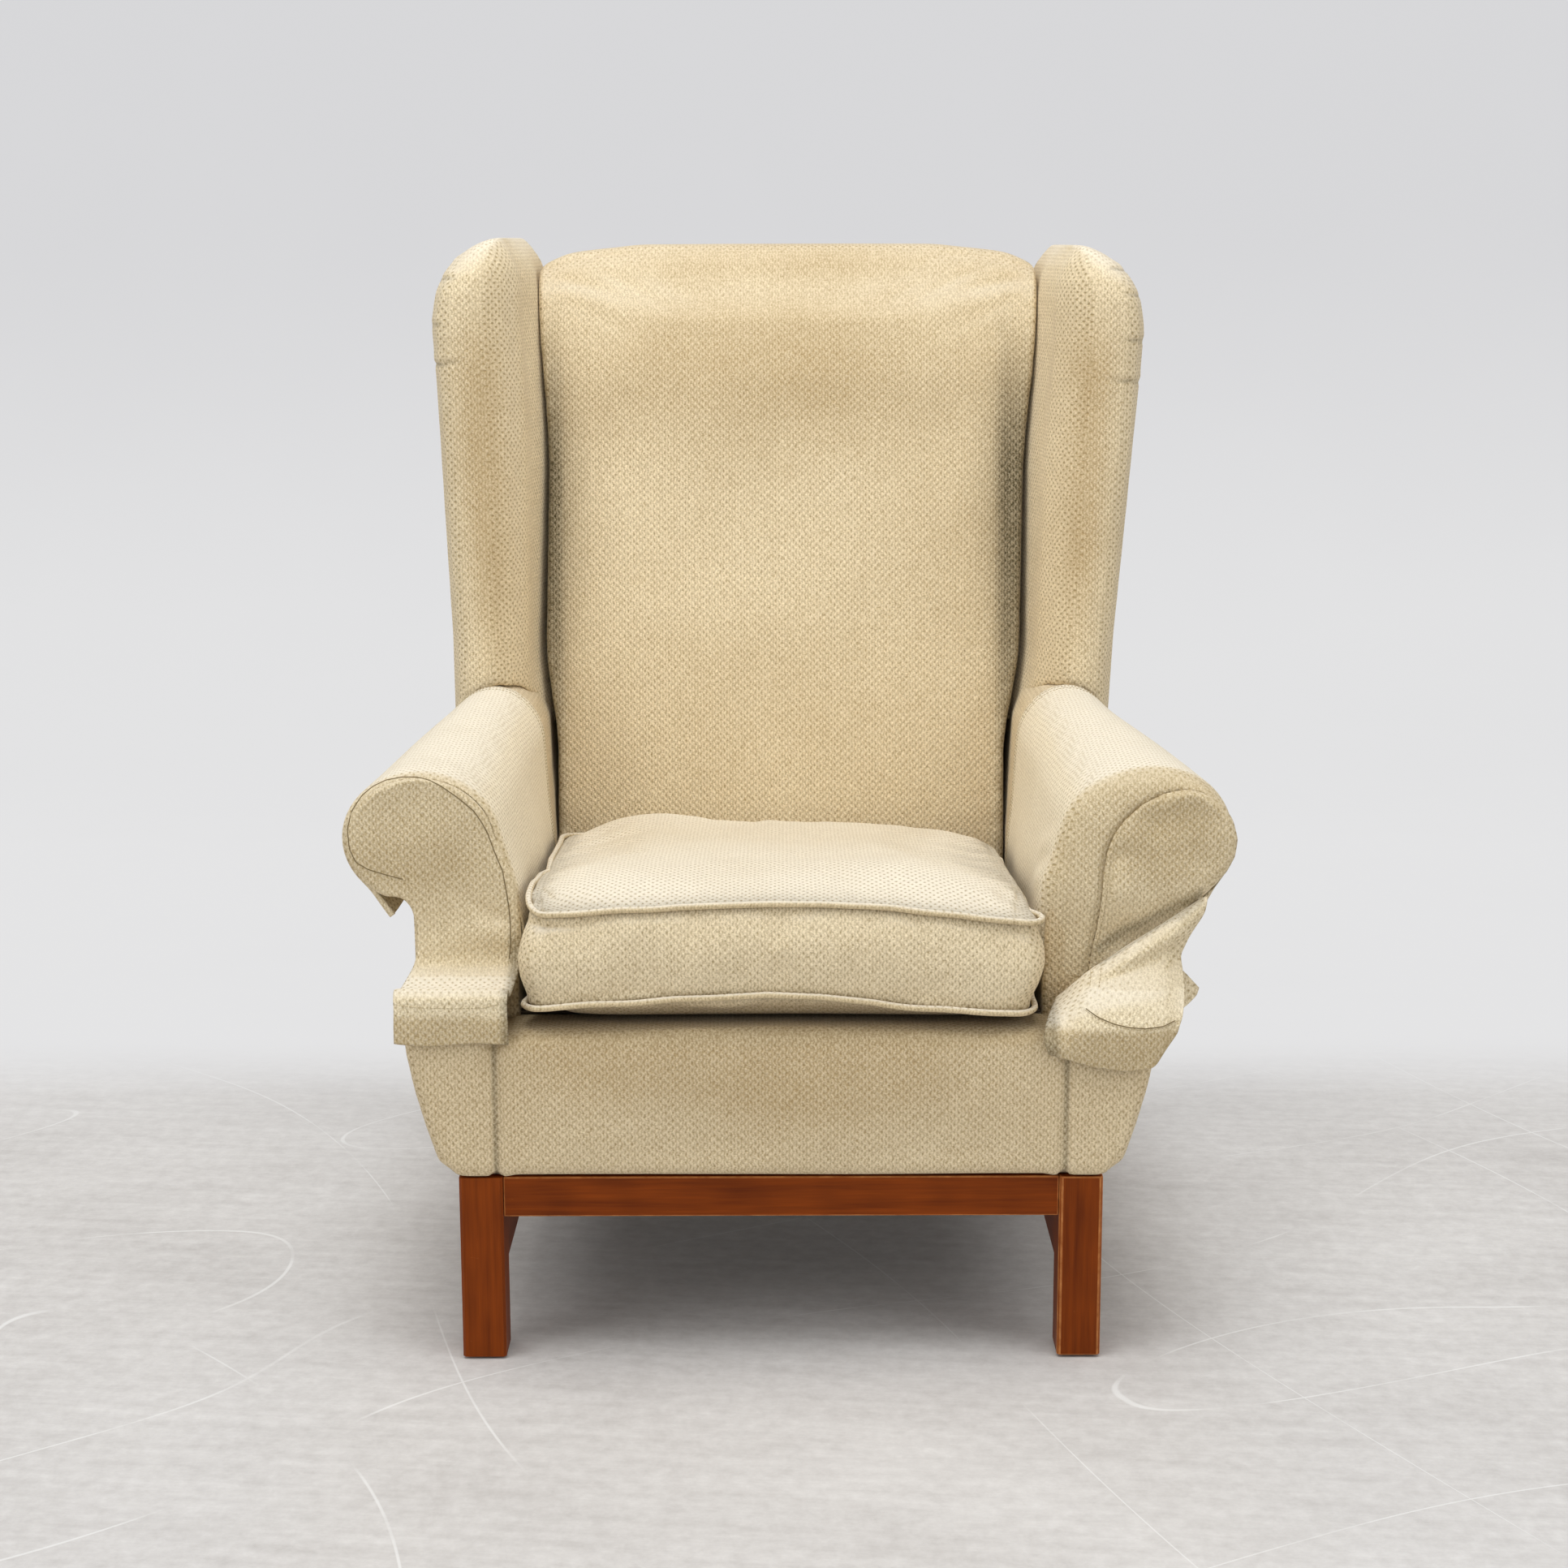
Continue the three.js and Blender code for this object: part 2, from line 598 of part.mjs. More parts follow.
function scrollAt(share) {
  const halfWidth = mix(SCROLL_HALF_WIDTH, ARM_REAR_HALF_WIDTH, share);
  return {
    halfWidth,
    centre: mix(SCROLL_OUTER, ARM_REAR_OUTER, share) - halfWidth,
    level: SCROLL_LEVEL + ARM_RISE * share,
  };
}

// Height at which the underside of the scroll meets the stem.
function underScroll(share) {
  const angle = SCROLL_ANGLE_SHARES.at(-1) * Math.PI;
  return scrollAt(share).level + SCROLL_HALF_HEIGHT * Math.sin(angle);
}

// The stem's outer face below the ledge, along the inside of the side panel.
function stemOuterAt(z) {
  const railHalf = bodyHalf(RAIL_TOP) - CLOTH - GAP;
  return mix(railHalf, stemOuter, (z - RAIL_TOP) / (BOX_TOP - RAIL_TOP));
}

// The arm in front view, from the foot of its inner face over the scroll to the foot of its stem.
function armOutline(share, foot) {
  const { halfWidth, centre, level } = scrollAt(share);
  const scroll = SCROLL_ANGLE_SHARES.map((angleShare) => {
    const angle = angleShare * Math.PI;
    const x = centre + halfWidth * Math.cos(angle);
    const z = level + SCROLL_HALF_HEIGHT * Math.sin(angle);
    return [angle < 0 ? Math.max(x, stemOuter + SCROLL_CLEARANCE) : x, z];
  });
  const under = underScroll(share);
  return [
    [ARM_INNER, foot],
    [ARM_INNER + GAP, (BOX_TOP + ARM_NECK_LEVEL) / 2],
    [ARM_INNER + CLOTH, ARM_NECK_LEVEL],
    ...scroll,
    [stemOuter, under],
    [stemOuter, BOX_TOP],
    [stemOuterAt(foot), foot],
  ];
}

const ARM_STATIONS = 8;
const secondStation = ARM_FRONT + SCROLL_HALF_HEIGHT / 2;
const armStations = [ARM_FRONT + ARM_EDGE_ROUND, ...span(secondStation, WING_FRONT, ARM_STATIONS)];

function armEnvelope(side, inset, foot) {
  const rear = backRear(BACK_TOP) + OVERRUN;
  const sections = [ARM_FRONT, ...armStations, rear].map((y, i) => {
    const round = i === 0 ? ARM_EDGE_ROUND : 0;
    const outline = grown(armOutline(armShare(y), foot), -inset - round);
    return outline.map(([x, z]) => alongY(side * x, z, i < 2 ? y + inset : y));
  });
  return loft(sections);
}

// Frame members as outlines in side view, shared by the pieces cut around them.
function postOutline(by) {
  const face = (z) => frameRear(z) - POST_DEPTH;
  return grown(
    [
      [rearRailFace + GAP, frameBottom],
      [frameRear(LEG_HEIGHT), frameBottom],
      [frameRear(POST_TOP), POST_TOP],
      [face(POST_TOP), POST_TOP],
      [face(RAIL_TOP), RAIL_TOP],
      [rearRailFace + GAP, RAIL_TOP - BLOCK_HEIGHT],
    ],
    by,
  );
}

const backPost = (side, by) =>
  slab(postOutline(by), side * (POST_INNER - by), side * (POST_INNER + POST_WIDTH + by), alongX);

function backRail(bottom, by) {
  const top = bottom + BACK_RAIL_HEIGHT;
  const outline = [
    [frameRear(bottom) - BACK_RAIL_THICK, bottom],
    [frameRear(bottom), bottom],
    [frameRear(top), top],
    [frameRear(top) - BACK_RAIL_THICK, top],
  ];
  const half = POST_INNER - GAP + by;
  return slab(grown(outline, by), -half, half, alongX);
}
const topRailBottom = POST_TOP - BACK_RAIL_HEIGHT;

const facingStart = ARM_FRONT + CLOTH + GAP + FACING_FOAM;
const facingEnd = facingStart + BOARD_THICK;

function armFrontBoard(side, by) {
  const inset = CLOTH + GAP + FACING_FOAM - by;
  const outline = grown(armOutline(0, RAIL_TOP + GAP), -inset).map(([x, z]) => [
    side * x,
    Math.max(z, RAIL_TOP + GAP - by),
  ]);
  return slab(outline, facingStart - by, facingEnd + by, alongY);
}

function armBoard(side, by) {
  const outer = ARM_BOARD_INNER + ARM_BOARD_WIDTH;
  const [low, high] = ordered(side * (ARM_BOARD_INNER - by), side * (outer + by));
  const end = frameRear(ARM_BOARD_BOTTOM) - POST_DEPTH - GAP;
  const top = ARM_BOARD_BOTTOM + BOARD_THICK;
  return block(low, high, facingEnd + GAP - by, end + by, ARM_BOARD_BOTTOM - by, top + by);
}

const wingFrontAt = (z) => WING_FRONT + WING_LEAN_SHARE * (z - SCROLL_LEVEL - SCROLL_HALF_HEIGHT);
const wingBoardInner = POST_INNER + POST_WIDTH + GAP;

// The wing board in side view: its front edge sweeps down to the arm board and its top is rounded off.
function wingBoard(side, by) {
  const bottom = ARM_BOARD_BOTTOM + BOARD_THICK + GAP;
  const front = (z) => wingFrontAt(z) + WING_BOARD_COVERED;
  const round = WING_BOARD_TOP - WING_OUTER_SHOULDER;
  const corner = span(0, Math.PI / 2, 5).map((angle) => {
    const z = WING_OUTER_SHOULDER + round * Math.sin(angle);
    return [front(WING_OUTER_SHOULDER) + round * (1 - Math.cos(angle)), z];
  });
  const outline = [
    [front(bottom) + round / 2, bottom],
    [front(bottom) + round / 6, bottom + round],
    [front(bottom), bottom + round * 2],
    ...corner,
    [frameRear(WING_BOARD_TOP) - POST_DEPTH / 2, WING_BOARD_TOP],
    [frameRear(bottom) - POST_DEPTH / 2, bottom],
  ];
  const inner = side * (wingBoardInner - by);
  return slab(grown(outline, by), inner, side * (wingBoardInner + WING_BOARD_THICK + by), alongX);
}

function frameCutters(side) {
  return [
    armFrontBoard(side, GAP),
    armBoard(side, GAP),
    backPost(side, GAP),
    wingBoard(side, GAP),
    backRail(LOWER_RAIL_BOTTOM, GAP),
    backRail(topRailBottom, GAP),
  ];
}

function buildArm(sideName, side) {
  addPiece(`arm_front_board_${sideName}`, armFrontBoard(side, 0), "frame");
  addPiece(`arm_board_${sideName}`, armBoard(side, 0), "frame");
  const cutters = frameCutters(side);
  const foot = RAIL_TOP + GAP;
  const rear = backRear(BACK_TOP);
  const lining = ordered(side * (ARM_INNER + CLOTH + GAP + ARM_FOAM), side * SCROLL_OUTER);
  const stemRoom = block(...lining, facingEnd, rear + OVERRUN, 0, ARM_NECK_LEVEL - BOARD_THICK);
  const skin = cut(armEnvelope(side, 0, foot), armEnvelope(side, CLOTH, foot - OVERRUN));
  const through = [wingBoard(side, GAP), backPost(side, GAP), backRail(LOWER_RAIL_BOTTOM, GAP)];
  addPiece(`arm_upholstery_${sideName}`, cut(skin, stemRoom, pastBack, ...through), "cloth");
  const foam = cut(armEnvelope(side, CLOTH + GAP, foot + CLOTH + GAP), stemRoom, pastBack, ...cutters);
  addPiece(`arm_padding_${sideName}`, foam, "foam");
}

// The outside of the arm: one stretched cloth from under the scroll to the bottom of the seat.
function buildSidePanel(sideName, side) {
  const rear = backRear(BACK_TOP) + OVERRUN;
  const sections = [...span(ARM_FRONT, WING_FRONT, 3), rear].map((y) => {
    const top = underScroll(armShare(y)) - GAP;
    const levels = [...span(frameBottom, BOX_TOP, 6), top];
    const outer = levels.map((z) => [bodyHalf(z), z]);
    const inner = levels.map((z) => [bodyHalf(z) - CLOTH, z]).reverse();
    return [...outer, ...inner].map(([x, z]) => alongY(side * x, z, y));
  });
  addPiece(`side_panel_${sideName}`, cut(loft(sections), pastBack), "cloth");
}

// Wings

function wingOuterAt(z) {
  if (z < WING_OUTER_SHOULDER) {
    const foot = SCROLL_LEVEL + ARM_RISE + SCROLL_HALF_HEIGHT;
    return mix(ARM_REAR_OUTER, WING_OUTER, clamp01((z - foot) / (WING_OUTER_SHOULDER - foot)));
  }
  const share = (z - WING_OUTER_SHOULDER) / (WING_TOP - WING_OUTER_SHOULDER);
  return WING_PEAK + (WING_OUTER - WING_PEAK) * Math.sqrt(1 - share * share);
}

function wingInnerAt(z) {
  const share = clamp01((z - WING_INNER_SHOULDER) / (WING_TOP - WING_INNER_SHOULDER));
  return WING_PEAK - (WING_PEAK - ARM_INNER) * Math.sqrt(1 - share * share);
}

// Each point of a wing's plan: its share of the width, and of the depth of the rounded front edge.
const WING_PLAN_SHARES = [
  [1, 0.5],
  [0.985, 0.25],
  [0.93, 0.1],
  [0.83, 0.025],
  [0.68, 0],
  [0.52, 0.05],
  [0.37, 0.18],
  [0.22, 0.42],
  [0.09, 0.75],
  [0, 1.1],
];

function wingSection(side, z, inset) {
  const [inner, outer] = [wingInnerAt(z) + inset, wingOuterAt(z) - inset];
  const topShare = clamp01((z - WING_INNER_SHOULDER) / (WING_TOP - WING_INNER_SHOULDER));
  const retreat = (WING_PEAK - ARM_INNER) * (1 - Math.sqrt(1 - topShare * topShare));
  const front = wingFrontAt(z) + retreat + inset;
  const rear = backRear(z) + OVERRUN * 2;
  const edge = WING_PLAN_SHARES.map(([across, back]) => {
    const x = mix(inner, outer, across);
    return [x, front + WING_EDGE_DEPTH * back];
  });
  return [[outer, rear], ...edge, [inner, rear]].map(([x, y]) => alongY(side * x, z - inset, y));
}

// Where the sections of the wing's rounded top lie, as shares of a quarter turn.
const WING_CROWN_SHARES = [0, 0.22, 0.42, 0.6, 0.76, 0.86, 0.93];

function wingEnvelope(side, inset) {
  const start = SCROLL_LEVEL + ARM_RISE;
  const crown = WING_CROWN_SHARES.map((share) => {
    const risen = Math.sin((share * Math.PI) / 2);
    return mix(WING_INNER_SHOULDER, WING_TOP, risen);
  });
  const levels = [...span(start, WING_OUTER_SHOULDER, 5), ...crown];
  return loft(levels.map((z) => wingSection(side, z, inset)));
}

function buildWing(sideName, side) {
  const armBelow = armEnvelope(side, -GAP, RAIL_TOP);
  addPiece(`wing_board_${sideName}`, wingBoard(side, 0), "frame");
  const skin = cut(wingEnvelope(side, 0), wingEnvelope(side, CLOTH), armBelow, pastBack);
  addPiece(`wing_cover_${sideName}`, cut(skin, backRail(topRailBottom, GAP)), "cloth");
  const foam = cut(wingEnvelope(side, CLOTH + GAP * 3), armBelow, pastBack, ...frameCutters(side));
  addPiece(`wing_padding_${sideName}`, foam, "foam");
}

// Back

function buildBackFrame() {
  for (const [sideName, side] of Object.entries(SIDES)) {
    addPiece(`back_post_${sideName}`, backPost(side, 0), "frame");
    const webX = side * WEB_SPREAD;
    const face = (z) => frameRear(z) - BACK_RAIL_THICK - GAP;
    const bottom = LOWER_RAIL_BOTTOM + GAP;
    const outline = [
      [face(bottom) - WEB_THICK, bottom],
      [face(bottom), bottom],
      [face(POST_TOP), POST_TOP],
      [face(POST_TOP) - WEB_THICK, POST_TOP],
    ];
    const web = slab(outline, webX - WEB_WIDTH / 2, webX + WEB_WIDTH / 2, alongX);
    addPiece(`back_web_${sideName}`, web, "web");
  }
  addPiece("back_rail_top", backRail(topRailBottom, 0), "frame");
  addPiece("back_rail_lower", backRail(LOWER_RAIL_BOTTOM, 0), "frame");
}

// How far the crown stands out at each level, how the top is rounded off, where the rounding ends and
// the places across the back at which its outline is taken.
const BACK_CROWN_SHARES = [0.35, 0.75, 1, 0.85, 0.6, 0.4, 0.1];
const BACK_ROUND_SHARES = [0.3, 0.6, 0.85];
const BACK_ROUND_END_SHARE = 1.3;
const BACK_CORNER_POWER = 8;
const BACK_ACROSS_SHARES = [-1, -0.97, -0.88, -0.6, -0.25, 0.25, 0.6, 0.88, 0.97, 1];

const backFoot = backFront(deckLevel(BACK_FRONT)) - BACK_CROWN;

function backOutline(x, inset, drop) {
  const across = Math.abs(x) / ARM_INNER;
  const crown = BACK_CROWN * (1 - across ** 2);
  const top = BACK_TOP - BACK_CORNER_DROP * across ** BACK_CORNER_POWER;
  const start = deckLevel(backFoot) + GAP - drop;
  const shoulder = top - BACK_TOP_ROUND;
  const levels = span(start, shoulder, BACK_CROWN_SHARES.length);
  const face = levels.map((z, i) => [backFront(z) - crown * BACK_CROWN_SHARES[i], z]);
  const rounding = BACK_ROUND_SHARES.map((share) => {
    const angle = (share * Math.PI) / 2;
    const z = shoulder + BACK_TOP_ROUND * Math.sin(angle);
    return [backFront(z) + BACK_TOP_ROUND * (1 - Math.cos(angle)), z];
  });
  const far = backRear(top) + OVERRUN * 2;
  const roundEnd = backFront(top) + BACK_TOP_ROUND * BACK_ROUND_END_SHARE;
  return grown([...face, ...rounding, [roundEnd, top], [far, top], [far, start]], -inset);
}

function backEnvelope(inset, drop) {
  const half = ARM_INNER - GAP;
  const sections = BACK_ACROSS_SHARES.map((share) => {
    const x = share * (half - inset);
    return backOutline(share * half, inset, drop).map(([y, z]) => alongX(y, z, x));
  });
  return loft(sections);
}

function buildBackUpholstery() {
  const rails = [backRail(topRailBottom, GAP), backRail(LOWER_RAIL_BOTTOM, GAP)];
  const skin = cut(backEnvelope(0, 0), backEnvelope(CLOTH, OVERRUN), pastBack, ...rails);
  addPiece("back_cover_inside", skin, "cloth");
  const webFace = (z) => frameRear(z) - BACK_RAIL_THICK - GAP - WEB_THICK - GAP;
  const railRoomTop = topRailBottom + BACK_RAIL_HEIGHT + GAP;
  const far = backRear(BACK_TOP) + OVERRUN;
  const hollow = [
    [webFace(0), 0],
    [far, 0],
    [far, railRoomTop],
    [webFace(railRoomTop), railRoomTop],
  ];
  const half = ARM_INNER;
  const room = slab(hollow, -half, half, alongX);
  addPiece("back_foam", cut(backEnvelope(CLOTH + GAP, 0), room, pastBack), "foam");
}

// The outside back: a flat leaning panel with the outline that the body, arms and wings make.
function buildOutsideBack() {
  const edge = CLOTH / 2;
  const body = span(frameBottom, underScroll(1), 5).map((z) => [bodyHalf(z) - edge, z]);
  const wing = span(SCROLL_LEVEL + ARM_RISE, WING_OUTER_SHOULDER, 4);
  const shoulder = span(WING_INNER_SHOULDER, WING_TOP - CLOTH, 4);
  const outer = [...wing, ...shoulder].map((z) => [wingOuterAt(z) - edge, z]);
  const cornerTop = BACK_TOP - BACK_CORNER_DROP;
  const notch = [
    [wingInnerAt(cornerTop) + edge, cornerTop],
    [ARM_INNER - CLOTH, cornerTop - edge],
    [ARM_INNER - BACK_CORNER_DROP * 2, BACK_TOP - CLOTH * 2],
  ];
  const right = [...body, ...outer, ...notch];
  const left = right.map(([x, z]) => [-x, z]).reverse();
  const outline = [...right, ...left];
  const sections = [CLOTH, 0].map((depth) => outline.map(([x, z]) => alongY(x, z, backRear(z) - depth)));
  addPiece("back_cover_outside", loft(sections), "cloth");
}

// Loose arm covers

const capRear = WING_FRONT - CAP_REAR_CLEARANCE;

// The cover's section at a place along the arm: it hangs straight down from the scroll's widest point,
// stands out there by the fold and droops at its outer hem.
function capSection(side, y, by, hemDrop, fold, droop) {
  const share = armShare(y);
  const { halfWidth, centre, level } = scrollAt(share);
  const over = SCROLL_ANGLE_SHARES.filter((angleShare) => angleShare > 0).map((angleShare) => {
    const angle = angleShare * Math.PI;
    return [centre + halfWidth * Math.cos(angle), level + SCROLL_HALF_HEIGHT * Math.sin(angle)];
  });
  const outer = centre + halfWidth;
  const base = [
    [ARM_INNER, CAP_INNER_HEM],
    [ARM_INNER + GAP, (CAP_INNER_HEM + ARM_NECK_LEVEL) / 2],
    [ARM_INNER + CLOTH, ARM_NECK_LEVEL],
    ...over,
    [outer, level],
    [outer, CAP_OUTER_HEM],
  ];
  const outline = grown(base, by);
  outline[0][1] = CAP_INNER_HEM - hemDrop;
  outline[outline.length - 1][1] = CAP_OUTER_HEM - hemDrop - droop;
  outline[outline.length - 1][0] += fold;
  return outline.map(([x, z]) => [side * x, z]);
}

function capShell(sideName, side, by, hemDrop) {
  const length = WING_FRONT - ARM_FRONT;
  return loft(
    [ARM_FRONT - by, ...armStations].map((y) => {
      const turn = ((y - ARM_FRONT) / length) * CAP_FOLDS[sideName] * 2 * Math.PI;
      const fold = (CAP_FOLD[sideName] * (1 - Math.cos(turn))) / 2;
      const droop = CAP_DROOP[sideName] * Math.sin(armShare(y) * Math.PI);
      return capSection(side, y, by, hemDrop, fold, droop).map(([x, z]) => alongY(x, z, y));
    }),
  );
}

// The cover's front panel hangs before the scroll and the stem, down to the ledge.
const capFace = ARM_FRONT - CAP_EASE - CAP_CLOTH;
function capFrontPanel(side) {
  const foot = BOX_TOP + CAP_EASE;
  const outline = grown(armOutline(0, foot), CAP_EASE + CAP_CLOTH);
  const upright = outline.map(([x, z]) => [side * x, Math.max(z, foot)]);
  return slab(upright, capFace, ARM_FRONT - CAP_EASE, alongY);
}

// Where the creases of each front panel start and end, as shares of the arm's thickness and of the
// height from the ledge to the neck.
const CREASE_SHARES = {
  left: [
    [0.14, 0.5, 0.5, 0.94],
    [0.12, 0.16, 0.4, 0.5],
  ],
  right: [
    [0.2, 1.1, 0.92, 0.3],
    [0.1, 0.62, 0.5, 0.2],
  ],
};
const CREASE_PROFILE_SHARES = [
  [-1, 0],
  [-0.55, 0.7],
  [0, 1],
  [0.55, 0.7],
  [1, 0],
];

// A slanting crease is a slack ridge of cloth: it swells from a point to its middle and dies away again.
function capCrease(sideName, side, [acrossStart, upStart, acrossEnd, upEnd]) {
  const height = ARM_NECK_LEVEL - BOX_TOP;
  const start = new THREE.Vector2(ARM_INNER + ARM_THICK * acrossStart, BOX_TOP + height * upStart);
  const end = new THREE.Vector2(ARM_INNER + ARM_THICK * acrossEnd, BOX_TOP + height * upEnd);
  const normal = new THREE.Vector2(start.y - end.y, end.x - start.x).normalize();
  const rooted = capFace + CAP_CLOTH / 2;
  const sections = span(0, 1, 9).map((share) => {
    const swell = Math.max(WELT_RADIUS / height, Math.sin(share * Math.PI));
    const middle = start.clone().lerp(end, share);
    const ridge = CREASE_PROFILE_SHARES.map(([across, rise]) => {
      const place = middle.clone().addScaledVector(normal, across * swell * CREASE_HALF_WIDTH[sideName]);
      return alongY(side * place.x, place.y, capFace - rise * swell * CREASE_RISE[sideName]);
    });
    const root = [ridge.at(-1), ridge.at(0)].map(({ x, z }) => alongY(x, z, rooted));
    return [...ridge, ...root];
  });
  return loft(sections);
}

// How the flap rolls over the ledge's edge, as shares of its rounding back and down.
const LEDGE_EDGE_SHARES = [
  [1, 0],
  [0.28, 0.12],
  [0, 0.59],
];

// Then it lies over the ledge and drops before the side box, with its folds.
function capLedgeFlap(sideName, side) {
  const inner = BOX_SEAM - BORDER_ROUND;
  const outer = BOX_TOP_HALF + CAP_LEDGE_OVERHANG;
  const sections = span(0, 1, 9).map((share) => {
    const wave = (1 - Math.cos(share * CAP_FOLDS[sideName] * 2 * Math.PI)) / 2;
    const out = CAP_FOLD[sideName] * wave;
    const face = FRONT_FACE - CAP_EASE;
    const rounded = LEDGE_EDGE_SHARES.map(([back, down]) => [
      mix(face, FRONT_FACE + BORDER_ROUND, back),
      BOX_TOP + CAP_EASE - BORDER_ROUND * down,
    ]);
    const path = [
      [ARM_FRONT - CAP_EASE, BOX_TOP + CAP_EASE],
      ...rounded,
      [face - out / 2, (BOX_TOP + CAP_FRONT_HEM) / 2],
      [face - out, CAP_FRONT_HEM],
    ];
    return ribbon(path, CAP_CLOTH).map(([y, z]) => alongX(y, z, side * mix(inner, outer, share)));
  });
  return loft(sections);
}

function buildArmCap(sideName, side) {
  const half = SCROLL_OUTER + OVERRUN;
  const behindHem = block(-half, half, capRear, WING_FRONT + OVERRUN, 0, WING_TOP);
  const outside = capShell(sideName, side, CAP_EASE + CAP_CLOTH, 0);
  const shell = cut(outside, capShell(sideName, side, CAP_EASE, OVERRUN), behindHem);
  const creases = CREASE_SHARES[sideName].map((place) => capCrease(sideName, side, place));
  const whole = join(shell, capFrontPanel(side), capLedgeFlap(sideName, side), ...creases);
  addPiece(`arm_cap_${sideName}`, whole, "loose");
}

// Seat cushion, made flat and then laid on the sloping deck

const cushionTilt = -Math.atan(SEAT_SLOPE_SHARE);
const cushionBottomLevel = deckLevel(BACK_FRONT) + CUSHION_BOTTOM_CROWN;
const cushionRear = backFront(cushionBottomLevel) - BACK_CROWN - WELT_RADIUS * 2 - CUSHION_BACK_EASE;
const cushionHalfDepth = (cushionRear - CUSHION_FRONT) / 2 / Math.cos(cushionTilt);
const cushionHeight = CUSHION_BOTTOM_CROWN + CUSHION_BOXING + CUSHION_TOP_CROWN;
const CUSHION_POINTS = 36;

// The cushion's outline at a height above its underside, inset from the line of its welts.
function cushionRing(inset, z) {
  const squared = (value) => Math.sign(value) * Math.abs(value) ** (2 / CUSHION_SQUARENESS);
  const drawn = (along) => CUSHION_DRAW_IN * (1 - along * along);
  return angles(CUSHION_POINTS).map((angle) => {
    const a = squared(Math.cos(angle));
    const b = squared(Math.sin(angle));
    const half = mix(CUSHION_FRONT_HALF, CUSHION_REAR_HALF, (b + 1) / 2);
    const x = a * (half - inset - drawn(b) * Math.abs(a) ** 4);
    const y = b * (cushionHalfDepth - inset - drawn(a) * Math.abs(b) ** 4);
    return new THREE.Vector3(x, y, z);
  });
}

// Insets as shares of the cushion's shorter half, each with its share of the crown or the boxing.
const UNDERSIDE_SHARES = [[0.6, 0], [0.28, 0.02], [0.12, 0.3], [0.03, 0.75], [0, 1]];
const BOXING_SHARES = [[0.75, 0.3], [1, 0.5], [0.75, 0.7], [0, 1]];
const CROWN_SHARES = [[0.02, 0.25], [0.1, 0.6], [0.25, 0.85], [0.5, 0.96], [0.85, 1]];

function cushionRings(cloth) {
  const half = Math.min(CUSHION_REAR_HALF, cushionHalfDepth);
  const welt = CUSHION_BOTTOM_CROWN + CUSHION_BOXING;
  const profile = [
    ...UNDERSIDE_SHARES.map(([a, b]) => [half * a, CUSHION_BOTTOM_CROWN * b]),
    ...BOXING_SHARES.map(([a, b]) => [-CUSHION_BULGE * a, CUSHION_BOTTOM_CROWN + CUSHION_BOXING * b]),
    ...CROWN_SHARES.map(([a, b]) => [half * a, welt + CUSHION_TOP_CROWN * b]),
  ];
  const squeeze = (z) => mix(cloth, cushionHeight - cloth, z / cushionHeight);
  return profile.map(([inset, z]) => cushionRing(inset + cloth, squeeze(z)));
}

// A welt is a cord round the cushion. Its first section is repeated to close it.
const WELT_POINTS = 8;
function welt(level) {
  const sections = angles(WELT_POINTS).map((angle) => {
    const inset = -WELT_RADIUS - GAP * 2 + WELT_RADIUS * Math.cos(angle);
    return cushionRing(inset, level + WELT_RADIUS * Math.sin(angle));
  });
  return solidOf(new LoftGeometry([...sections, sections[0]]));
}

function buildCushion() {
  const group = new THREE.Group();
  const centre = (CUSHION_FRONT + cushionRear) / 2;
  group.position.set(0, centre, deckLevel(centre) + GAP);
  group.rotation.x = cushionTilt;
  chair.add(group);
  const middle = CUSHION_BOTTOM_CROWN + CUSHION_BOXING / 2;
  const inner = cushionHalfDepth - CUSHION_DRAW_IN - OVERRUN;
  const zipRoom = (inset) => {
    const [along, up] = [ZIP_LENGTH / 2 - inset, ZIP_WIDTH / 2 - inset];
    return block(-along, along, inner, inner + OVERRUN * 4, middle - up, middle + up);
  };
  const caseSolid = cut(loft(cushionRings(0)), loft(cushionRings(CUSHION_CLOTH)), zipRoom(0));
  addPiece("cushion_case", caseSolid, "cloth", group);
  addPiece("cushion_core", loft(cushionRings(CUSHION_CLOTH + GAP)), "foam", group);
  const zip = cut(loft(cushionRings(0)).intersect(zipRoom(GAP)), loft(cushionRings(CUSHION_CLOTH)));
  addPiece("cushion_zip", zip, "tape", group);
  addPiece("cushion_welt_bottom", welt(CUSHION_BOTTOM_CROWN), "cloth", group);
  addPiece("cushion_welt_top", welt(CUSHION_BOTTOM_CROWN + CUSHION_BOXING), "cloth", group);
}

buildLegs();
buildBaseRails();
buildStretchers();
buildSeatRails();
buildCornerBlocks();
buildSprings();
buildDeck();
buildFrontBorder();
buildDustCover();
buildBackFrame();
buildBackUpholstery();
buildOutsideBack();
for (const [sideName, side] of Object.entries(SIDES)) {
  buildArm(sideName, side);
  buildSidePanel(sideName, side);
  buildWing(sideName, side);
  buildArmCap(sideName, side);
}
buildCushion();

// The origin is on the floor, under the middle of the whole part.
const extent = new THREE.Box3().setFromObject(chair);
chair.position.set(-(extent.min.x + extent.max.x) / 2, -(extent.min.y + extent.max.y) / 2, -extent.min.z);

export default chair;
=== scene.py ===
# %% [markdown]
# # A wingback armchair with loose arm covers
# The frame underneath is already made at its real size: legs, rails, boards, springs and a plain solid
# for each pad and cover. This lesson gives it its looks: stretched and padded cloth, a boxed seat
# cushion with piped seams, two loose arm covers that have slipped a little, and stained beech legs.
# Everything is in metres with Z up; shapes are worked out in millimetres and scaled at the end.

import math

import bmesh
import bpy
import numpy as np
from mathutils import Matrix, Vector
from mathutils.kdtree import KDTree


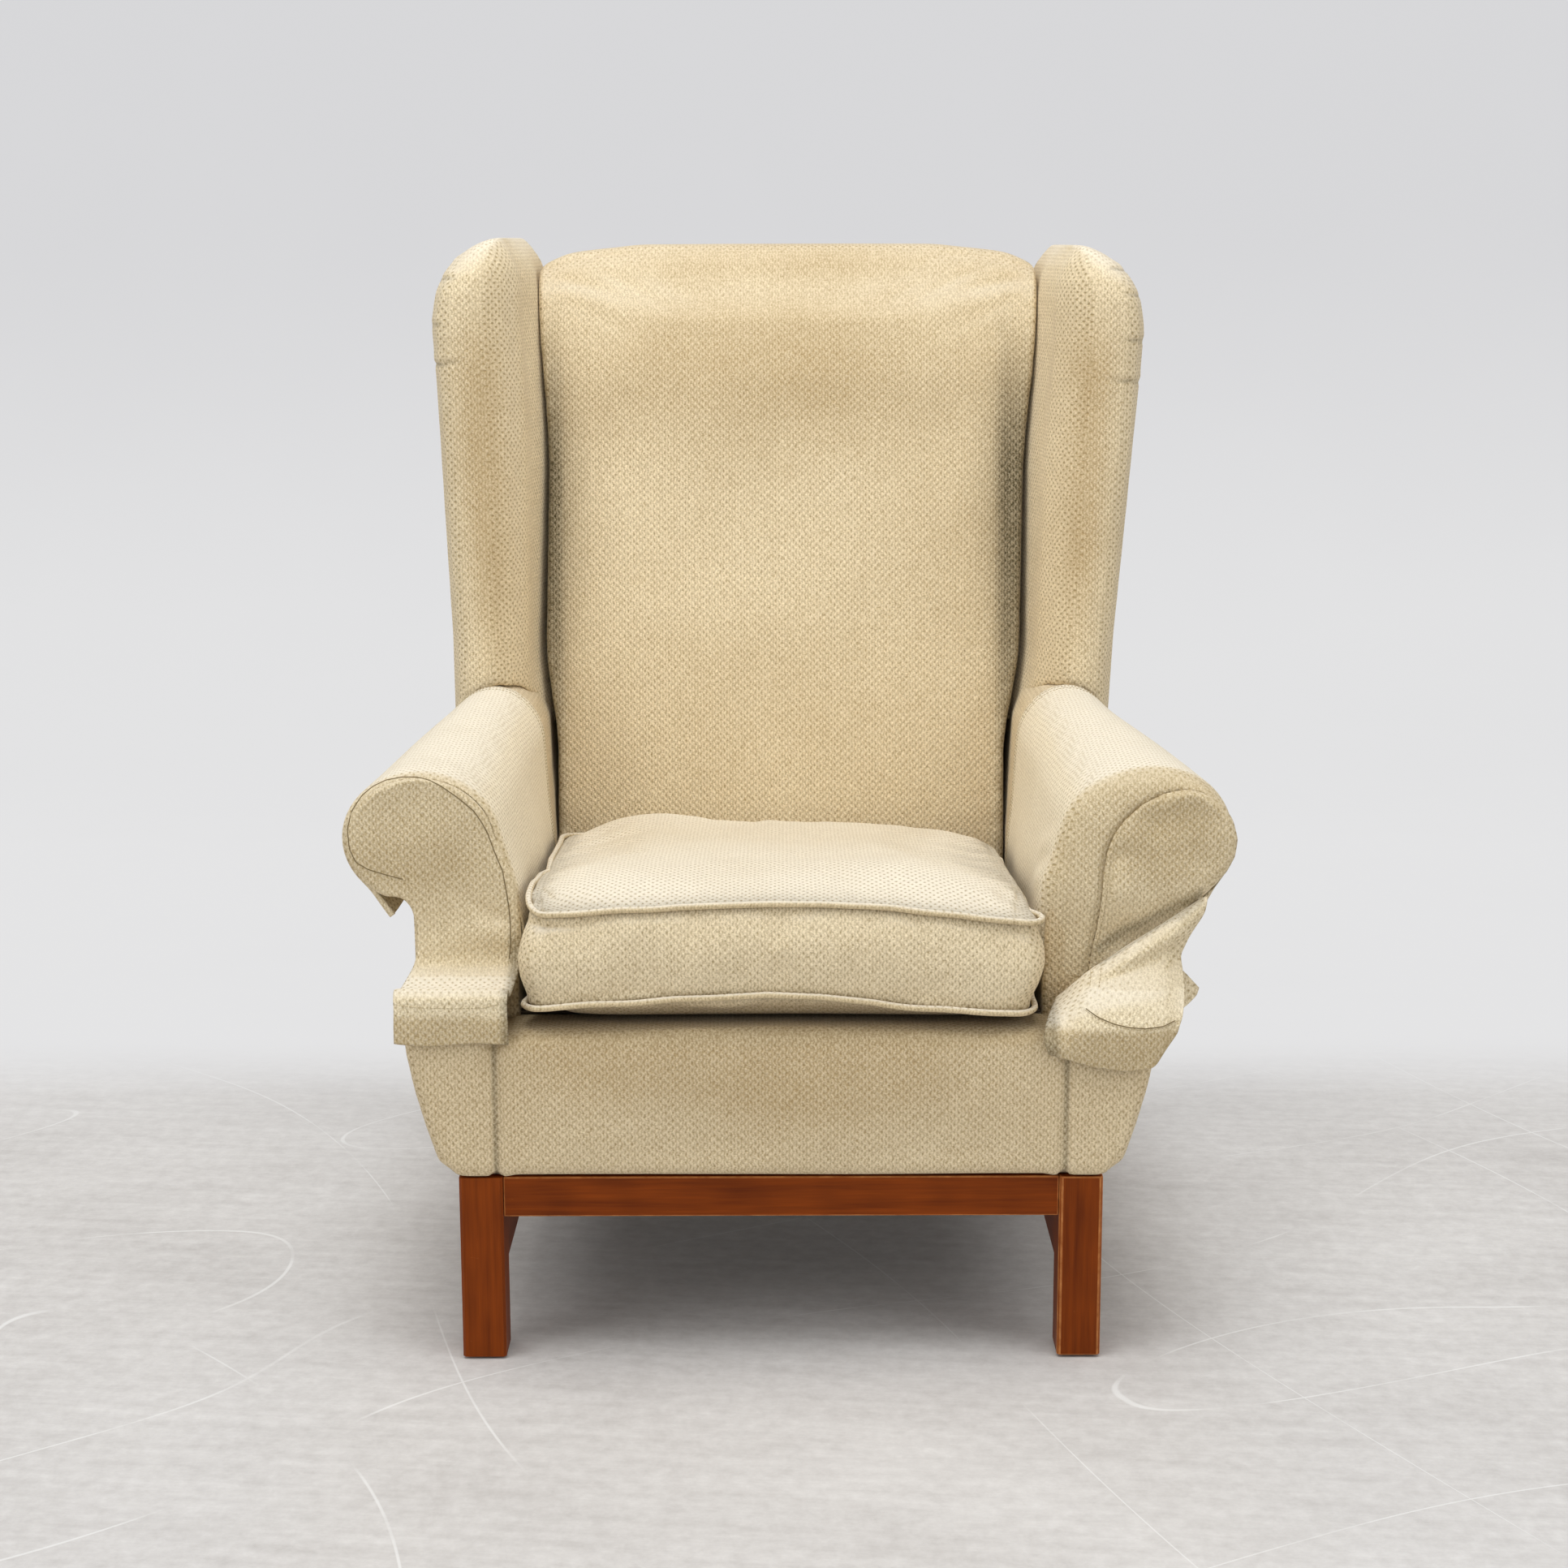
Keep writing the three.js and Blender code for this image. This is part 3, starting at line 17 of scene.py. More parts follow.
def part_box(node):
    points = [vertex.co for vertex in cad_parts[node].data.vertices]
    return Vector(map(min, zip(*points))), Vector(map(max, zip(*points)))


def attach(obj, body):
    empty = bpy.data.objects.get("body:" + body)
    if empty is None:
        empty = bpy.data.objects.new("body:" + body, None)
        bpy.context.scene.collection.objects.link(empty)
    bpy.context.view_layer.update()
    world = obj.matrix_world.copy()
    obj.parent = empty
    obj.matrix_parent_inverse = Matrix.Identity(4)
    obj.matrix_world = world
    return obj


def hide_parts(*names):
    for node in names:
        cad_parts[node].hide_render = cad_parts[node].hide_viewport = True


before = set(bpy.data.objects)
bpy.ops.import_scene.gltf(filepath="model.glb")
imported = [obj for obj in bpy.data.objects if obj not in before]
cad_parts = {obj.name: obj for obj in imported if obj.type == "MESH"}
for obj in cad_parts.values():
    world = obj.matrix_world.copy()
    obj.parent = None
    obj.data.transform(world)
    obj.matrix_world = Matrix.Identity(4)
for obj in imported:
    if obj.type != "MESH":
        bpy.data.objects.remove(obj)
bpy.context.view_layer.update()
MM = 0.001
SIDES = {"left": -1, "right": 1}
print("frame pieces:", len(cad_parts))

# %% [markdown]
# ## Sizes of the chair
# The cloth follows the same lines as the frame, so its few driving sizes are written once, in
# millimetres. Depths are counted from the seat front, as the frame maker does, and SHIFT moves them
# to where the frame stands.

# %% Sizes
FRONT_FACE = -410.0
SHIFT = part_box("front_border_cover")[0].y / MM - FRONT_FACE
SEAT_BOTTOM, SEAT_SLOPE = 180.0, 0.0875
BOX_TOP, BOX_TOP_HALF, BOTTOM_HALF, BOX_SEAM, APRON_TOP = 347.0, 353.0, 317.0, 265.0, 326.0
BODY_HALF, ARM_INNER, ARM_FRONT = 348.0, 248.0, -330.0
SCROLL_LEVEL, SCROLL_OUTER, SCROLL_HALF_WIDTH, SCROLL_HALF_HEIGHT = 487.0, 413.0, 73.0, 62.0
ARM_RISE, ARM_REAR_OUTER, ARM_REAR_HALF_WIDTH, ARM_NECK = 24.0, 353.0, 49.0, 440.0
WING_FRONT, WING_LEAN, WING_TOP, WING_PEAK, WING_OUTER = 40.0, 0.047, 1043.0, 304.0, 379.0
WING_OUTER_SHOULDER, WING_INNER_SHOULDER, WING_EDGE_DEPTH = 954.0, 985.0, 150.0
BACK_FRONT, BACK_LEAN, BACK_THICK, BACK_TOP = 120.0, 0.153, 155.0, 1038.0
CUSHION_FRONT, CUSHION_FRONT_HALF, CUSHION_REAR_HALF = -412.0, 240.0, 236.0
CUSHION_BOXING, CUSHION_TOP_CROWN, CUSHION_BOTTOM_CROWN = 95.0, 28.0, 25.0
CUSHION_SQUARENESS, WELT_RADIUS = 9.0, 3.2
CLOTH = 3.0
CUSHION_EASE = 4.0


def mix(a, b, share):
    return a + (b - a) * share


def clamp01(value):
    return np.clip(value, 0.0, 1.0)


def smooth(value):
    value = clamp01(value)
    return value * value * (3 - 2 * value)


def bump(value, centre, width):
    """1 at the centre, falling off softly over the width."""
    return np.exp(-(((value - centre) / width) ** 2))


def back_front(z):
    return BACK_FRONT + BACK_LEAN * (z - 380)


def back_rear(z):
    return back_front(z) + BACK_THICK


def deck_level(y):
    return APRON_TOP - SEAT_SLOPE * (y - FRONT_FACE)


def body_half(z):
    share = clamp01((z - SEAT_BOTTOM) / (BOX_TOP - SEAT_BOTTOM))
    return mix(BOTTOM_HALF, BODY_HALF, np.sin(share * math.pi / 2))


def arm_share(y):
    return clamp01((y - ARM_FRONT) / (WING_FRONT - ARM_FRONT))


def scroll_at(share):
    """Half width, centre and level of the arm's scroll, from its front (0) to the wing (1)."""
    half = mix(SCROLL_HALF_WIDTH, ARM_REAR_HALF_WIDTH, share)
    centre = mix(SCROLL_OUTER, ARM_REAR_OUTER, share) - half
    return half, centre, SCROLL_LEVEL + ARM_RISE * share


def wing_front(z):
    return WING_FRONT + WING_LEAN * (z - SCROLL_LEVEL - SCROLL_HALF_HEIGHT)


def wing_outer(z):
    foot = SCROLL_LEVEL + ARM_RISE + SCROLL_HALF_HEIGHT
    low = mix(ARM_REAR_OUTER, WING_OUTER, clamp01((z - foot) / (WING_OUTER_SHOULDER - foot)))
    share = clamp01((z - WING_OUTER_SHOULDER) / (WING_TOP - WING_OUTER_SHOULDER))
    high = WING_PEAK + (WING_OUTER - WING_PEAK) * np.sqrt(1 - share * share)
    return np.where(z < WING_OUTER_SHOULDER, low, high)


def join_half(z):
    """Half the width between the wings: the worn chair has opened a little towards its top."""
    return ARM_INNER + 15 * smooth((z - 480) / 130) + 15 * smooth((z - 780) / 230)


def leaned(points, wing=0):
    """The worn chair's back and wings lean a few millimetres to the right and stand wider apart."""
    x, z = points[:, 0].copy(), points[:, 2].copy()
    if wing:
        outer = wing_outer(z)
        room = np.maximum(outer - ARM_INNER, 1)
        depth = points[:, 1] - SHIFT - wing_front(z)
        join = mix(ARM_INNER, join_half(z), mix(0.3, 1.0, smooth((depth - 45) / 65)))
        x = wing * (outer - (outer - x * wing) * (outer - join) / room)
    else:
        x = x * join_half(z) / ARM_INNER
    points[:, 0] = x + sideways(z)
    points[:, 2] = z + np.where(wing, 2.5 - 9.0 * (x > 0), 0) * smooth((z - 850) / 190)
    return points


def sideways(z):
    return 9 * clamp01((z - 480) / 420)


# %% [markdown]
# ## Small tools for meshes
# Soft pieces start in one of two ways. A stuffed piece starts from the frame's plain solids: they are
# joined, and a voxel remesh gives one even skin round them that can be inflated and pressed. A sheet
# of cloth starts from a grid of points worked out from the chair's lines, which is then given its
# thickness. Both end as plain closed meshes.

# %% Mesh tools


def arrays(obj):
    """The points of a mesh and its normals, in millimetres."""
    count = len(obj.data.vertices)
    points = np.zeros(count * 3)
    obj.data.vertices.foreach_get("co", points)
    normals = np.zeros(count * 3)
    obj.data.vertex_normals.foreach_get("vector", normals)
    return points.reshape(-1, 3) / MM, normals.reshape(-1, 3)


def set_points(obj, points):
    obj.data.vertices.foreach_set("co", (points * MM).astype(np.float32).ravel())
    obj.data.update()


def attribute(obj, name, values):
    layer = obj.data.attributes.get(name) or obj.data.attributes.new(name, "FLOAT", "POINT")
    layer.data.foreach_set("value", np.asarray(values, np.float32))


def new_object(name, points, faces, smooth_faces=True):
    mesh = bpy.data.meshes.new(name)
    mesh.from_pydata([tuple(p) for p in np.asarray(points) * MM], [], faces)
    mesh.polygons.foreach_set("use_smooth", [smooth_faces] * len(mesh.polygons))
    obj = bpy.data.objects.new(name, mesh)
    bpy.context.scene.collection.objects.link(obj)
    return obj


def tidy(obj, merge=0.0):
    """Merges doubled points if asked, and turns every face outwards."""
    work = bmesh.new()
    work.from_mesh(obj.data)
    if merge:
        bmesh.ops.remove_doubles(work, verts=work.verts, dist=merge * MM)
    bmesh.ops.recalc_face_normals(work, faces=work.faces)
    work.to_mesh(obj.data)
    work.free()
    obj.data.update()
    return obj


def merged_copy(name, nodes):
    """One new mesh from some of the frame's solids, with their loose triangles sewn together."""
    work = bmesh.new()
    for node in nodes:
        work.from_mesh(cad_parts[node].data)
    bmesh.ops.remove_doubles(work, verts=work.verts, dist=0.02 * MM)
    mesh = bpy.data.meshes.new(name)
    work.to_mesh(mesh)
    work.free()
    obj = bpy.data.objects.new(name, mesh)
    bpy.context.scene.collection.objects.link(obj)
    mesh.materials.clear()
    return obj


def apply_modifiers(obj):
    """The evaluated mesh takes the place of the plain one, and no modifier is left."""
    evaluated = obj.evaluated_get(bpy.context.evaluated_depsgraph_get())
    mesh = bpy.data.meshes.new_from_object(evaluated)
    obj.modifiers.clear()
    obj.data = mesh
    return obj


def keep_largest(obj):
    """Drops the inner skins that a remesh of hollow solids leaves, and keeps the outside one."""
    work = bmesh.new()
    work.from_mesh(obj.data)
    seen, groups = set(), []
    for start in work.verts:
        if start in seen:
            continue
        seen.add(start)
        group, queue = [start], [start]
        while queue:
            for edge in queue.pop().link_edges:
                for vert in edge.verts:
                    if vert not in seen:
                        seen.add(vert)
                        group.append(vert)
                        queue.append(vert)
        groups.append(group)
    groups.sort(key=len)
    for group in groups[:-1]:
        bmesh.ops.delete(work, geom=group, context="VERTS")
    work.to_mesh(obj.data)
    work.free()
    return obj


def smoothed(obj, times, factor=0.5):
    modifier = obj.modifiers.new("smooth", "SMOOTH")
    modifier.iterations = times
    modifier.factor = factor
    return apply_modifiers(obj)


def envelope(name, nodes, voxel=5.0, smoothing=4):
    """An even closed skin round some of the frame's solids."""
    obj = merged_copy(name, nodes)
    modifier = obj.modifiers.new("remesh", "REMESH")
    modifier.mode = "VOXEL"
    modifier.voxel_size = voxel * MM
    apply_modifiers(obj)
    keep_largest(obj)
    smoothed(obj, smoothing)
    tidy(obj)
    obj.data.polygons.foreach_set("use_smooth", [True] * len(obj.data.polygons))
    return obj


def subdivided(obj):
    modifier = obj.modifiers.new("subdivision", "SUBSURF")
    modifier.levels = modifier.render_levels = 1
    return apply_modifiers(obj)


def grid_normals(points):
    across = np.gradient(points, axis=1)
    along = np.gradient(points, axis=0)
    normals = np.cross(across, along)
    return normals / np.maximum(np.linalg.norm(normals, axis=2, keepdims=True), 1e-9)


def grid_faces(rows, columns, start=0, flip=False):
    faces = []
    for r in range(rows - 1):
        for c in range(columns - 1):
            a = start + r * columns + c
            face = (a, a + 1, a + columns + 1, a + columns)
            faces.append(face[::-1] if flip else face)
    return faces


def rim_of(rows, columns):
    top = [(0, c) for c in range(columns)]
    right = [(r, columns - 1) for r in range(1, rows)]
    bottom = [(rows - 1, c) for c in range(columns - 2, -1, -1)]
    left = [(r, 0) for r in range(rows - 2, 0, -1)]
    return [r * columns + c for r, c in top + right + bottom + left]


def cloth_shell(name, grids, thick, side=1):
    """Closed cloth from one or more grids of points: each gets a second skin and a rim."""
    points, faces = [], []
    for grid in grids:
        rows, columns = grid.shape[:2]
        inner = grid - grid_normals(grid) * thick * side
        start, count = len(points), rows * columns
        points.extend(grid.reshape(-1, 3))
        points.extend(inner.reshape(-1, 3))
        faces += grid_faces(rows, columns, start)
        faces += grid_faces(rows, columns, start + count, flip=True)
        rim = rim_of(rows, columns)
        for a, b in zip(rim, rim[1:] + rim[:1]):
            faces.append((start + b, start + a, start + count + a, start + count + b))
    return tidy(new_object(name, points, faces))


def ripple(points, size, seed):
    """A soft uneven wave with bumps of about the given size, from -1 to 1, the same on every run."""
    chance = np.random.default_rng(seed)
    total = np.zeros(len(points))
    for _ in range(7):
        direction = chance.normal(size=3)
        direction *= (2 * math.pi / size) * chance.uniform(0.5, 1.3) / np.linalg.norm(direction)
        total += np.sin(points @ direction + chance.uniform(0, 2 * math.pi))
    return total / 3.2


def distance_to(points, path):
    """How far each point is from a path, and the nearest place on it as a share of its length."""
    path = np.asarray(path, float)
    tree = KDTree(len(path))
    for i, place in enumerate(path):
        tree.insert(place, i)
    tree.balance()
    found = [tree.find(p)[1:] for p in points]
    index = np.array([f[0] for f in found])
    return np.array([f[1] for f in found]), index / (len(path) - 1)


def dense(path, count=600):
    """The same path with evenly spaced points."""
    path = np.asarray(path, float)
    run = np.concatenate([[0], np.cumsum(np.linalg.norm(np.diff(path, axis=0), axis=1))])
    at = np.linspace(0, run[-1], count)
    return np.stack([np.interp(at, run, path[:, k]) for k in range(3)], axis=1)


def put(grid_or_points):
    """From the frame maker's depths to where the frame stands."""
    moved = np.array(grid_or_points, float)
    moved[..., 1] += SHIFT
    return moved


# %% [markdown]
# ## Shader arithmetic
# A weave, a stain or a wood grain is a small formula over the piece's own coordinates. `Wire` wraps a
# node socket, so that the formula can be written as ordinary arithmetic, and each operator adds the
# node that it stands for.

# %% Wire


class Wire:
    def __init__(self, tree, socket):
        self.tree, self.socket = tree, socket

    def node(self, kind, output=0, settings=(), **inputs):
        """Adds any node: its settings come first, then a value or a wire for each named input."""
        made = self.tree.nodes.new(kind)
        for name, value in dict(settings).items():
            setattr(made, name, value)
        for name, value in inputs.items():
            key = int(name[1:]) if name[0] == "_" else name.replace("_", " ")
            if isinstance(value, Wire):
                self.tree.links.new(value.socket, made.inputs[key])
            else:
                made.inputs[key].default_value = value
        return Wire(self.tree, made.outputs[output])

    def math(self, operation, other=0.0, third=0.0):
        settings = {"operation": operation}
        return self.node("ShaderNodeMath", 0, settings, _0=self, _1=other, _2=third)

    def __add__(self, other):
        return self.math("ADD", other)

    def __sub__(self, other):
        return self.math("SUBTRACT", other)

    def __mul__(self, other):
        return self.math("MULTIPLY", other)

    def __truediv__(self, other):
        return self.math("DIVIDE", other)

    def __pow__(self, other):
        return self.math("POWER", other)

    def __rsub__(self, other):
        return self * -1.0 + other

    __radd__, __rmul__ = __add__, __mul__

    def cos(self):
        return self.math("COSINE")

    def above_zero(self):
        return self.math("MAXIMUM", 0.0)

    def turned(self, angle):
        """This vector turned about the upright axis."""
        return self.node("ShaderNodeVectorRotate", 0, {"rotation_type": "Z_AXIS"}, Vector=self, Angle=angle)

    def hairline(self, level, width):
        """1 on the thin lines where this wire crosses a level, 0 elsewhere."""
        return 1.0 - (self - level).math("ABSOLUTE").step(width * 0.3, width)

    def clamp(self):
        return self.node("ShaderNodeClamp", 0, Value=self)

    def step(self, low, high):
        """0 below low, 1 above high and smooth between."""
        settings = {"interpolation_type": "SMOOTHSTEP"}
        return self.node("ShaderNodeMapRange", 0, settings, _0=self, _1=low, _2=high, _3=0.0, _4=1.0)

    def blend(self, first, second):
        """The first colour where this is 0 and the second where it is 1."""
        settings = {"data_type": "RGBA"}
        return self.node("ShaderNodeMix", 2, settings, _0=self, _6=first, _7=second)

    def noise(self, scale, detail=2.0, roughness=0.5):
        """Soft noise over this vector, about 0 to 1."""
        return self.node("ShaderNodeTexNoise", 0, Vector=self, Scale=scale, Detail=detail, Roughness=roughness)

    def stretched(self, x, y, z):
        settings = {"operation": "MULTIPLY"}
        return self.node("ShaderNodeVectorMath", 0, settings, _0=self, _1=(x, y, z))

    def split(self):
        parts = self.node("ShaderNodeSeparateXYZ", 0, Vector=self).socket.node
        return [Wire(self.tree, parts.outputs[k]) for k in range(3)]


def srgb(red, green, blue):
    """A colour as it reads on screen, turned to the linear values that a shader takes."""
    parts = [v / 255 for v in (red, green, blue)]
    return tuple((v / 12.92 if v < 0.04045 else ((v + 0.055) / 1.055) ** 2.4) for v in parts) + (1.0,)


def material(name, roughness, **constants):
    """A material, its shader, and the piece's own coordinates in millimetres."""
    made = bpy.data.materials.new(name)
    made.use_nodes = True
    tree = made.node_tree
    shader = tree.nodes["Principled BSDF"]
    shader.inputs["Roughness"].default_value = roughness
    for key, value in constants.items():
        shader.inputs[key.replace("_", " ")].default_value = value
    place = tree.nodes.new("ShaderNodeTexCoord")
    wire = Wire(tree, place.outputs["Object"])
    return made, shader, wire.stretched(1000, 1000, 1000), Wire(tree, place.outputs["Normal"])


def finish_with(shader, colour=None, height=None, strength=0.5, distance=1.0, roughness=None):
    tree = shader.id_data
    if colour is not None:
        tree.links.new(colour.socket, shader.inputs["Base Color"])
    if roughness is not None:
        tree.links.new(roughness.socket, shader.inputs["Roughness"])
    if height is not None:
        relief = height.node("ShaderNodeBump", 0, Strength=strength, Distance=distance * MM, Height=height)
        tree.links.new(relief.socket, shader.inputs["Normal"])


# %% [markdown]
# ## The cloth
# A cream chenille with a small raised dot. The dots stand in a diamond lattice, laid over the piece
# from the front, the side and above, and each view counts where the surface faces it. From the front
# the dots catch the light between fine ribs; on tops and sides the pits between the dots are painted dark as their
# shade.
# A fine fuzz breaks it up. Surfaces facing up are painted paler, a painted highlight of the light from above,
# and hands and heads have left broad yellowish patches. Each piece also carries its own `soil_and_shade` (0 to 1),
# real dirt where it is dirtiest and painted shade on a few pieces, `painted_shade` where a join or fold keeps the light
# out, and some pieces `painted_light` where painted light is added beyond what their slope gives.

# %% Cloth
DOT_PITCH = 7.6
RIB_PITCH = 3.2
PIT_SHADE = 0.95


def chenille(name, pale, ground, patch, dots=1.0):
    made, shader, p, normal = material(name, 0.92, Sheen_Weight=0.12, Sheen_Roughness=0.5)
    wobble = p.noise(0.05, 2.0) * 3.0
    x = p.split()[0]
    cx, cy, cz = [((part + wobble) * (2 * math.pi / DOT_PITCH)).cos() for part in p.split()]
    nx, ny, nz = normal.split()
    sideways, upwards = nx.math("ABSOLUTE").step(0.2, 0.62), nz.math("ABSOLUTE").step(0.3, 1.0)
    ahead = ny * ny * cx * cz
    dot = (ahead.above_zero() ** 2.5) * dots
    pit = (sideways * cy * cz).math("MAXIMUM", upwards * cx * cy).above_zero() ** 2.2
    hollow = (ahead * -1.0).above_zero() ** 2.0
    rib = ((x * (2 * math.pi / RIB_PITCH) + cz * 1.2).cos()) * ny * ny
    fuzz = p.noise(0.75, 3.0, 0.7)
    grain = p.noise(0.28, 2.0, 0.6)
    cloud = p.noise(0.009, 3.0, 0.55)
    soil_and_shade = p.node("ShaderNodeAttribute", "Fac", {"attribute_name": "soil_and_shade"})
    painted_shade = p.node("ShaderNodeAttribute", "Fac", {"attribute_name": "painted_shade"})
    speck = ((fuzz - 0.5) * 2.2 + (grain - 0.5) * 1.0 + rib * 0.2 + dot * 0.62 - pit * 0.6 - hollow * 0.36 + 0.68).clamp()
    colour = speck.blend(ground, pale)
    # painted highlight: surfaces facing up, and places given extra painted light, are blended towards a pale cream, as
    # light from above would brighten them
    painted_light = p.node("ShaderNodeAttribute", "Fac", {"attribute_name": "painted_light"})
    painted_top_light = (nz.step(0.3, 0.95) * (1.0 - soil_and_shade)).math("MAXIMUM", painted_light)
    colour = (painted_top_light * 0.62).blend(colour, srgb(238, 233, 222))
    # painted shade: on tops and sides the pits between the dots are darkened towards the ground colour
    colour = (pit * PIT_SHADE).blend(colour, ground)
    # the soil value is real dirt on every piece and also painted shade on some (the cushion's underside, the apron's
    # top roll, the covers' drops); both blend towards the patch colour
    dirt_and_shade = ((cloud - 0.5) * 0.5 + soil_and_shade * 0.75).clamp()
    colour = (dirt_and_shade * (1.1 - speck * 0.5)).clamp().blend(colour, patch)
    # painted shade: joins, folds, seams and hollows are blended towards a dark olive where the light is kept out
    colour = (painted_shade * (1.1 - speck * 0.45)).clamp().blend(colour, srgb(70, 62, 36))
    height = dot * 1.6 - (pit + hollow) * 1.3 + fuzz * 1.2 + grain * 0.5
    finish_with(shader, colour, height, 0.55, 0.9)
    return made


CREAM = chenille("cream_chenille", srgb(250, 234, 200), srgb(180, 160, 119), srgb(174, 147, 100), 0.9)
COVER_CREAM = chenille("arm_cover_chenille", srgb(252, 238, 206), srgb(188, 168, 126), srgb(170, 146, 100), 1.3)
PIPING = chenille("piping_chenille", srgb(232, 214, 176), srgb(184, 162, 120), srgb(172, 146, 100), 0.0)
print("cloth materials:", CREAM.name, COVER_CREAM.name, PIPING.name)

# %% [markdown]
# ## Wood, steel and the hidden stuffs
# The legs and rails are beech under a reddish-brown stain. The grain runs along each piece, the stain
# is thin on rubbed edges (`edge`, 0 to 1), and there are a few scratches. The frame inside is the same
# wood, raw. The springs, webbing, lining and tape are plain.

# %% Wood


def wood(name, along, dark, light, worn, roughness, coat):
    made, shader, p, _ = material(name, roughness, Coat_Weight=coat, Coat_Roughness=0.2, Specular_IOR_Level=0.1)
    spread = [0.12, 0.12, 0.12]
    spread[along] = 0.006
    fine = [1.1, 1.1, 1.1]
    fine[along] = 0.02
    growth = p.stretched(*spread).noise(1.0, 3.0, 0.6)
    pores = p.stretched(*fine).noise(1.0, 2.0, 0.7)
    cloud = p.noise(0.013, 2.0)
    tone = (growth * 1.3 + pores * 0.5 - 0.5 + (cloud - 0.5) * 0.8).clamp()
    colour = tone.blend(dark, light)
    edge = p.node("ShaderNodeAttribute", "Fac", {"attribute_name": "edge"})
    scuffs = p.noise(0.06, 3.0, 0.7)
    colour = (edge * (scuffs * 1.6 - 0.25)).clamp().blend(colour, worn)
    nick = (p.stretched(0.05, 0.05, 0.4).noise(1.0, 3.0, 0.8)).step(0.7, 0.76) * 0.35
    colour = nick.blend(colour, worn)
    finish_with(shader, colour, pores * 0.6 + scuffs * 0.4, 0.12, 0.4)
    return made


BEECH = {
    axis: wood(f"stained_beech_{axis}", k, srgb(94, 38, 4), srgb(152, 70, 12), srgb(200, 132, 76), 0.48, 0.04)
    for k, axis in enumerate("xyz")
}
RAW = {
    axis: wood(f"raw_beech_{axis}", k, srgb(178, 140, 96), srgb(216, 182, 136), srgb(220, 190, 150), 0.7, 0.0)
    for k, axis in enumerate("xyz")
}


def plain(name, colour, roughness, **constants):
    made, shader, p, _ = material(name, roughness, **constants)
    shade = p.noise(0.35, 3.0, 0.6)
    darker = tuple(c * 0.72 for c in colour[:3]) + (1.0,)
    finish_with(shader, shade.blend(darker, colour), shade, 0.25, 0.3)
    return made


STEEL = plain("spring_wire", srgb(122, 118, 112), 0.4, Metallic=0.9)
ZINC = plain("tack_steel", srgb(150, 148, 144), 0.35, Metallic=1.0)
WADDING = plain("wadding", srgb(238, 234, 222), 0.95)
# the deck cloth's dark brown is partly its own colour and partly painted shade for the gaps beside the cushion
DECK_WITH_SHADE = plain("deck_cloth", srgb(74, 64, 50), 0.95)
LINING = plain("black_lining", srgb(38, 37, 36), 0.9)
WEBBING = plain("jute_webbing", srgb(176, 148, 104), 0.9)
ZIP_TAPE = plain("zip_tape", srgb(206, 194, 164), 0.7)
THREAD = plain("sewing_thread", srgb(196, 178, 138), 0.8)
# a dark line laid along the seams stands in for the shade in them
SEAM_SHADOW_LINE = plain("seam_shadow", srgb(136, 119, 84), 0.95)
GLIDE = plain("nail_glide", srgb(74, 70, 66), 0.5, Metallic=0.4)


def dress(obj, made):
    obj.data.materials.clear()
    obj.data.materials.append(made)
    return obj


for node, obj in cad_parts.items():
    axis = "z" if "post" in node else "y" if node.startswith(("arm_board", "seat_rail_l")) else "x"
    if node.startswith("seat_rail_r") and "right" in node or node.startswith("wing_board"):
        axis = "y" if "seat" in node else "z"
    finish = RAW[axis]
    if "spring" in node:
        finish = STEEL
    elif "web" in node:
        finish = WEBBING
    elif "pad" in node or "foam" in node or "core" in node:
        finish = WADDING
    dress(obj, finish)
print("hidden pieces dressed")

# %% [markdown]
# ## Legs and rails
# The real ones are planed square and lightly rounded at the edges with sandpaper. Each is a copy of
# its frame solid with the flat faces made whole again and every edge rounded by about a millimetre;
# the rounding is marked `edge`, so that the stain can be worn there.

# %% Underframe


def planed(node, axis, round_by=1.4):
    obj = merged_copy(node + "_planed", [node])
    work = bmesh.new()
    work.from_mesh(obj.data)
    bmesh.ops.recalc_face_normals(work, faces=work.faces)
    bmesh.ops.dissolve_limit(work, angle_limit=math.radians(2), verts=work.verts, edges=work.edges)
    layer = work.faces.layers.float.new("edge")
    sharp = [e for e in work.edges if e.is_manifold and e.calc_face_angle(0) > math.radians(25)]
    made = bmesh.ops.bevel(
        work, geom=sharp, offset=round_by * MM, segments=3, affect="EDGES", profile=0.5, clamp_overlap=True
    )
    for face in made["faces"]:
        face[layer] = 1.0
    bmesh.ops.triangulate(work, faces=[f for f in work.faces if len(f.verts) > 4])
    work.to_mesh(obj.data)
    work.free()
    dress(obj, BEECH[axis])
    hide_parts(node)
    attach(obj, "chair_body")
    return obj


for end in ("front", "rear"):
    planed(f"base_rail_{end}", "x")
    for side in SIDES:
        planed(f"leg_{end}_{side}", "z")
for side in SIDES:
    planed(f"base_stretcher_{side}", "y")
print("legs and rails planed")

# %% [markdown]
# ## Piping, seams and stitches
# What follows a line is made by Geometry Nodes: `PIPING_TREE` sweeps a round section along a path,
# and `STITCH_TREE` lays a short bead of thread at even steps along it. Their sizes are inputs of the
# tree. The result is turned into a plain mesh before it is used.

# %% Lines


def tree_with(name, inputs):
    tree = bpy.data.node_groups.new(name, "GeometryNodeTree")
    tree.interface.new_socket("Geometry", in_out="INPUT", socket_type="NodeSocketGeometry")
    for label, value in inputs.items():
        kind = "NodeSocketMaterial" if value is None else "NodeSocketFloat"
        socket = tree.interface.new_socket(label, in_out="INPUT", socket_type=kind)
        if value is not None:
            socket.default_value = value
    tree.interface.new_socket("Geometry", in_out="OUTPUT", socket_type="NodeSocketGeometry")
    return tree, tree.nodes.new("NodeGroupInput"), tree.nodes.new("NodeGroupOutput")


